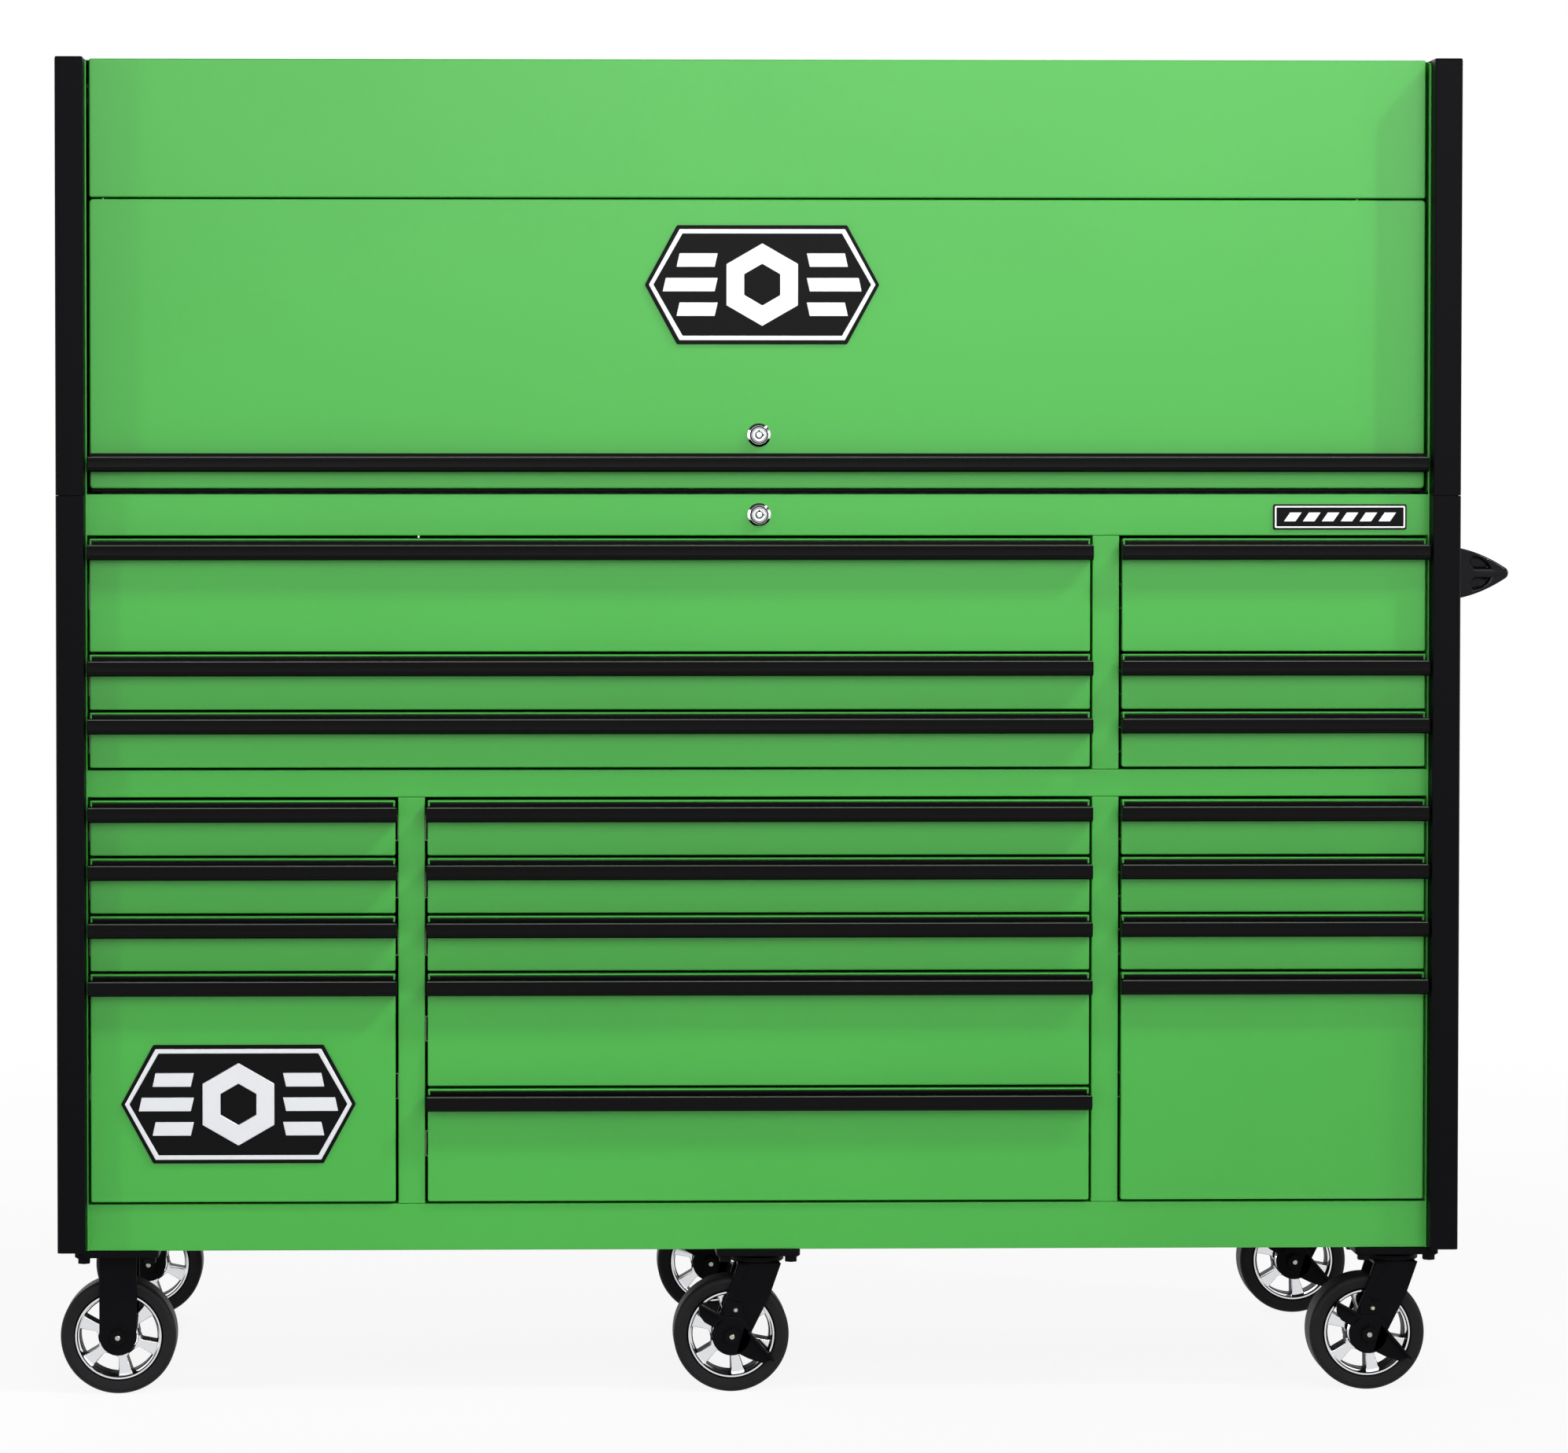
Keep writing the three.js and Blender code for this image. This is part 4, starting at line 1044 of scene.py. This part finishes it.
def spoke(angle, grown=0.0, web_half=WEB_HALF):
    """A spoke's rounded section carried outwards: its half width is a sixth of the radius, plus a
    quarter circle's flare at each end that rounds the windows' corners."""
    radius = np.concatenate([np.linspace(HUB_RADIUS - 2, 32, 5), np.linspace(35, 46, 4),
                             np.linspace(47.5, 52.5, 5)])
    flare = np.clip((np.abs(radius - 39.8) - 8.2) / 5, 0, 1)
    half = 0.5 + grown + radius / 6 + 5 * (1 - np.sqrt(1 - flare ** 2))
    turn = np.radians(angle)
    outward = np.array([np.cos(turn), 0, np.sin(turn)])
    sideways = np.array([-np.sin(turn), 0, np.cos(turn)])
    unit = rounded((-1, -1), (1, 1), 0.18)
    rings = (radius[:, None, None] * outward + (half[:, None] * unit[:, 0])[..., None] * sideways
             + web_half * unit[None, :, 1:] * np.array([0, 1, 0]))
    return loft(rings)


RIM = [(RIM_RADIUS, -21), (56.5, -23.4), (54.5, -23.4), (53.0, -22), (51.2, -13), (51.2, 13), (53.0, 22),
       (54.5, 23.4), (56.5, 23.4), (RIM_RADIUS, 21)]
HUB = [(7.5, -22), (17, -22), (19, -20), (24, -18), (HUB_RADIUS, -14), (HUB_RADIUS, 14), (24, 18), (19, 20),
       (17, 22), (7.5, 22)]


def plain_ring(inner, outer):
    """A plain ring of the core, from its inner radius to its outer one."""
    return [(inner, -SHADE_CORE_HALF), (outer, -SHADE_CORE_HALF), (outer, SHADE_CORE_HALF), (inner, SHADE_CORE_HALF)]


def spoked(ring, hub, *spoke_sizes):
    """A ring and a hub turned about the axle, and the six spokes between them."""
    spokes = [spoke(WINDOW_TURN + 30 + 60 * k, *spoke_sizes) for k in range(6)]
    ring = turned(ring, (0, 0, 0), 1, 96, looped=True)
    hub = turned(hub, (0, 0, 0), 1, 48, looped=True)
    return joined(ring, hub, *spokes)


wheels = sorted(name for name in frame["nodes"] if name.startswith("wheel_"))
for name in wheels:
    centre = anchors[name]
    make("tyre_" + name, tyre(centre), tyre_rubber, name, replaced=[name])
    make("rim_" + name, repeated(spoked(RIM, HUB), [centre]), chrome, name)
    # The black core darkens the windows' inner walls: painted shade and painted dark reflection.
    core = spoked(plain_ring(50.7, 53.6), plain_ring(20, HUB_RADIUS + 0.4), SHADE_CORE_GROWTH, SHADE_CORE_HALF)
    make("rim_shade_core_" + name, repeated(core, [centre]), black_coat, name)


# ---- casters ----
# Pressed steel forks, black powder coated: rigid ones on the left, and swivelling ones on a ball race
# with a brake in the middle and on the right. Each hangs from a bolted plate.
PLATE_HALF = 55.0
PLATE_SHEET = 9.0
BOLT_INSET = 12.0
RACE = [(34, -21.0), (36, -19.5), (36, -14), (33, -12.5), (33, -11.5), (38, -9.8), (38, -9.2)]
LEG = (27.2, 31.2)             # from the wheel's middle
PEDAL = (31.8, 36.2)
HEX_HALF = 9.5
NUT_GAP = 0.3                  # so that the pedal turns under its nut
plate_top = tray_bottom - 0.3


def hex_nut(centre, axis, way, width, height):
    """A nut or bolt head: a hexagon with a washer under it."""
    head = slab(polygon(6, width / 2 / np.cos(np.pi / 6), 30), sorted((0, way * height)), axis)
    hole, rim, level = width * 0.2, width * 0.66, way * 1.4
    washer = turned([(hole, 0), (rim, 0), (rim, level), (hole, level)], (0, 0, 0), axis, 24)
    return repeated(joined(head, washer), [centre])


def mounting_plate(x, y):
    """The top plate with rounded corners, and four bolts that hang from it."""
    bolt_face = plate_top - PLATE_SHEET
    plate = bar((x - PLATE_HALF, y - PLATE_HALF, bolt_face), (x + PLATE_HALF, y + PLATE_HALF, plate_top), 2,
                9.0, 1.5)
    reach = PLATE_HALF - BOLT_INSET
    places = [(x + i * reach, y + j * reach, bolt_face) for i in (-1, 1) for j in (-1, 1)]
    bolts = [hex_nut(place, 2, -1, 15, 8) for place in places]
    return joined(plate, *bolts)


def swivel_leg(offset):
    """A leg that slants from the race to the axle, seen square on, with a round end."""
    return np.vstack([[(offset - 26, 95)], arc((0, 0), 22, 175, 345, 12),
                      [(offset + 16, 52), (offset + 31, 95)]])


def rigid_leg():
    return np.vstack([[(-24.5, 108)], arc((0, 0), 24.5, 180, 360, 12), [(24.5, 108)]])


def pair_of_legs(outline, centre):
    legs = [slab(outline, (-LEG[1], -LEG[0]), 1), slab(outline, LEG, 1)]
    return repeated(joined(*legs), [centre])


def pedal(centre):
    """The brake: a disc on the axle, an arm with a lip each way, and an upright tab."""
    span = (-PEDAL[1], -PEDAL[0])
    lip = (-PEDAL[1] - 11, -PEDAL[0])
    disc = turned([(9, span[1]), (26, span[1]), (26, span[0] + 1), (25, span[0]), (9, span[0])],
                  (0, 0, 0), 1, 48)
    front = slab(np.array([(16, 12), (24, 6), (56, -31), (40, -36), (22, -30), (6, -22)]), span, 1)
    rear = slab(np.array([(-6, 25), (-15, 27), (-43, 43), (-42, 26), (-36, 18), (-22, 10)]), span, 1)
    tab_outline = np.array([(-12, 20), (-11, 44), (-8, 47), (1, 47), (3, 44), (14, 43), (16, 14)])
    tab = slab(tab_outline, (span[0] + 1.5, span[1]), 1)
    front_lip = slab(np.array([(22.5, 8.0), (56, -31), (54, -33), (20, 6)]), lip, 1)
    rear_lip = slab(np.array([(-15, 28.5), (-43, 44), (-44, 42), (-16, 26)]), lip, 1)
    return repeated(joined(disc, front, rear, tab, front_lip, rear_lip), [centre])


for name in wheels:
    _, place, end = name.split("_")
    centre = anchors[name]
    rigid = place == "left"
    fork = f"rigid_fork_{end}" if rigid else f"swivel_fork_{place}_{end}"
    body = "chest" if rigid else fork
    pivot = centre if rigid else anchors[fork]
    make(f"caster_plate_{place}_{end}", mounting_plate(pivot[0], pivot[1]), black_coat, bevel=0.5)
    if rigid:
        legs = pair_of_legs(rigid_leg(), centre)
        crown = bar((centre[0] - 24, centre[1] - 30, plate_top - 14),
                    (centre[0] + 24, centre[1] + 30, plate_top - 9), 2, 3.0, 1.0)
    else:
        offset = pivot[0] - centre[0]
        legs = pair_of_legs(swivel_leg(offset), centre)
        rib_outline = np.array([(offset - 24, 93), (-19, 22), (-9, 26), (offset - 13, 93)])
        rib = slab(rib_outline, (-LEG[1] - 2.2, -LEG[1] + 0.5), 1)
        web = bar((pivot[0] - 26, pivot[1] - 30, 166), (pivot[0] + 30, pivot[1] + 30, 171.5), 2, 6.0, 1.2)
        race = turned(RACE, (pivot[0], pivot[1], plate_top), 2, 48)
        crown = joined(web, race, repeated(rib, [centre]))
    make(f"fork_{place}_{end}", joined(legs, crown), black_coat, body, bevel=1.2, replaced=[fork])
    front_face = -LEG[1] if rigid else -PEDAL[1] - NUT_GAP
    nuts = joined(hex_nut((0, front_face, 0), 1, -1, 2 * HEX_HALF, 6.5),
                  hex_nut((0, LEG[1], 0), 1, 1, 2 * HEX_HALF, 6.5))
    make(f"axle_nuts_{place}_{end}", repeated(nuts, [centre]), black_coat, body, bevel=0.5)
    stud = turned([(1.2, front_face - 5), (3.4, front_face - 5), (3.4, front_face - 7.4),
                   (2.8, front_face - 8), (1.2, front_face - 8)], centre, 1, 16)
    make(f"axle_end_{place}_{end}", stud, zinc, body)
    if not rigid:
        brake = f"brake_pedal_{place}_{end}"
        make(f"brake_{place}_{end}", pedal(centre), black_coat, brake, bevel=0.8, replaced=[brake])
        outer = -PEDAL[1]
        rivet = turned([(0.8, outer - 2.4), (2.2, outer - 2.2), (3.4, outer - 0.6), (3.4, outer + 1.6),
                        (0.8, outer + 1.6)], centre + (5, 0, 34), 1, 16)
        make(f"brake_rivet_{place}_{end}", rivet, zinc, brake)
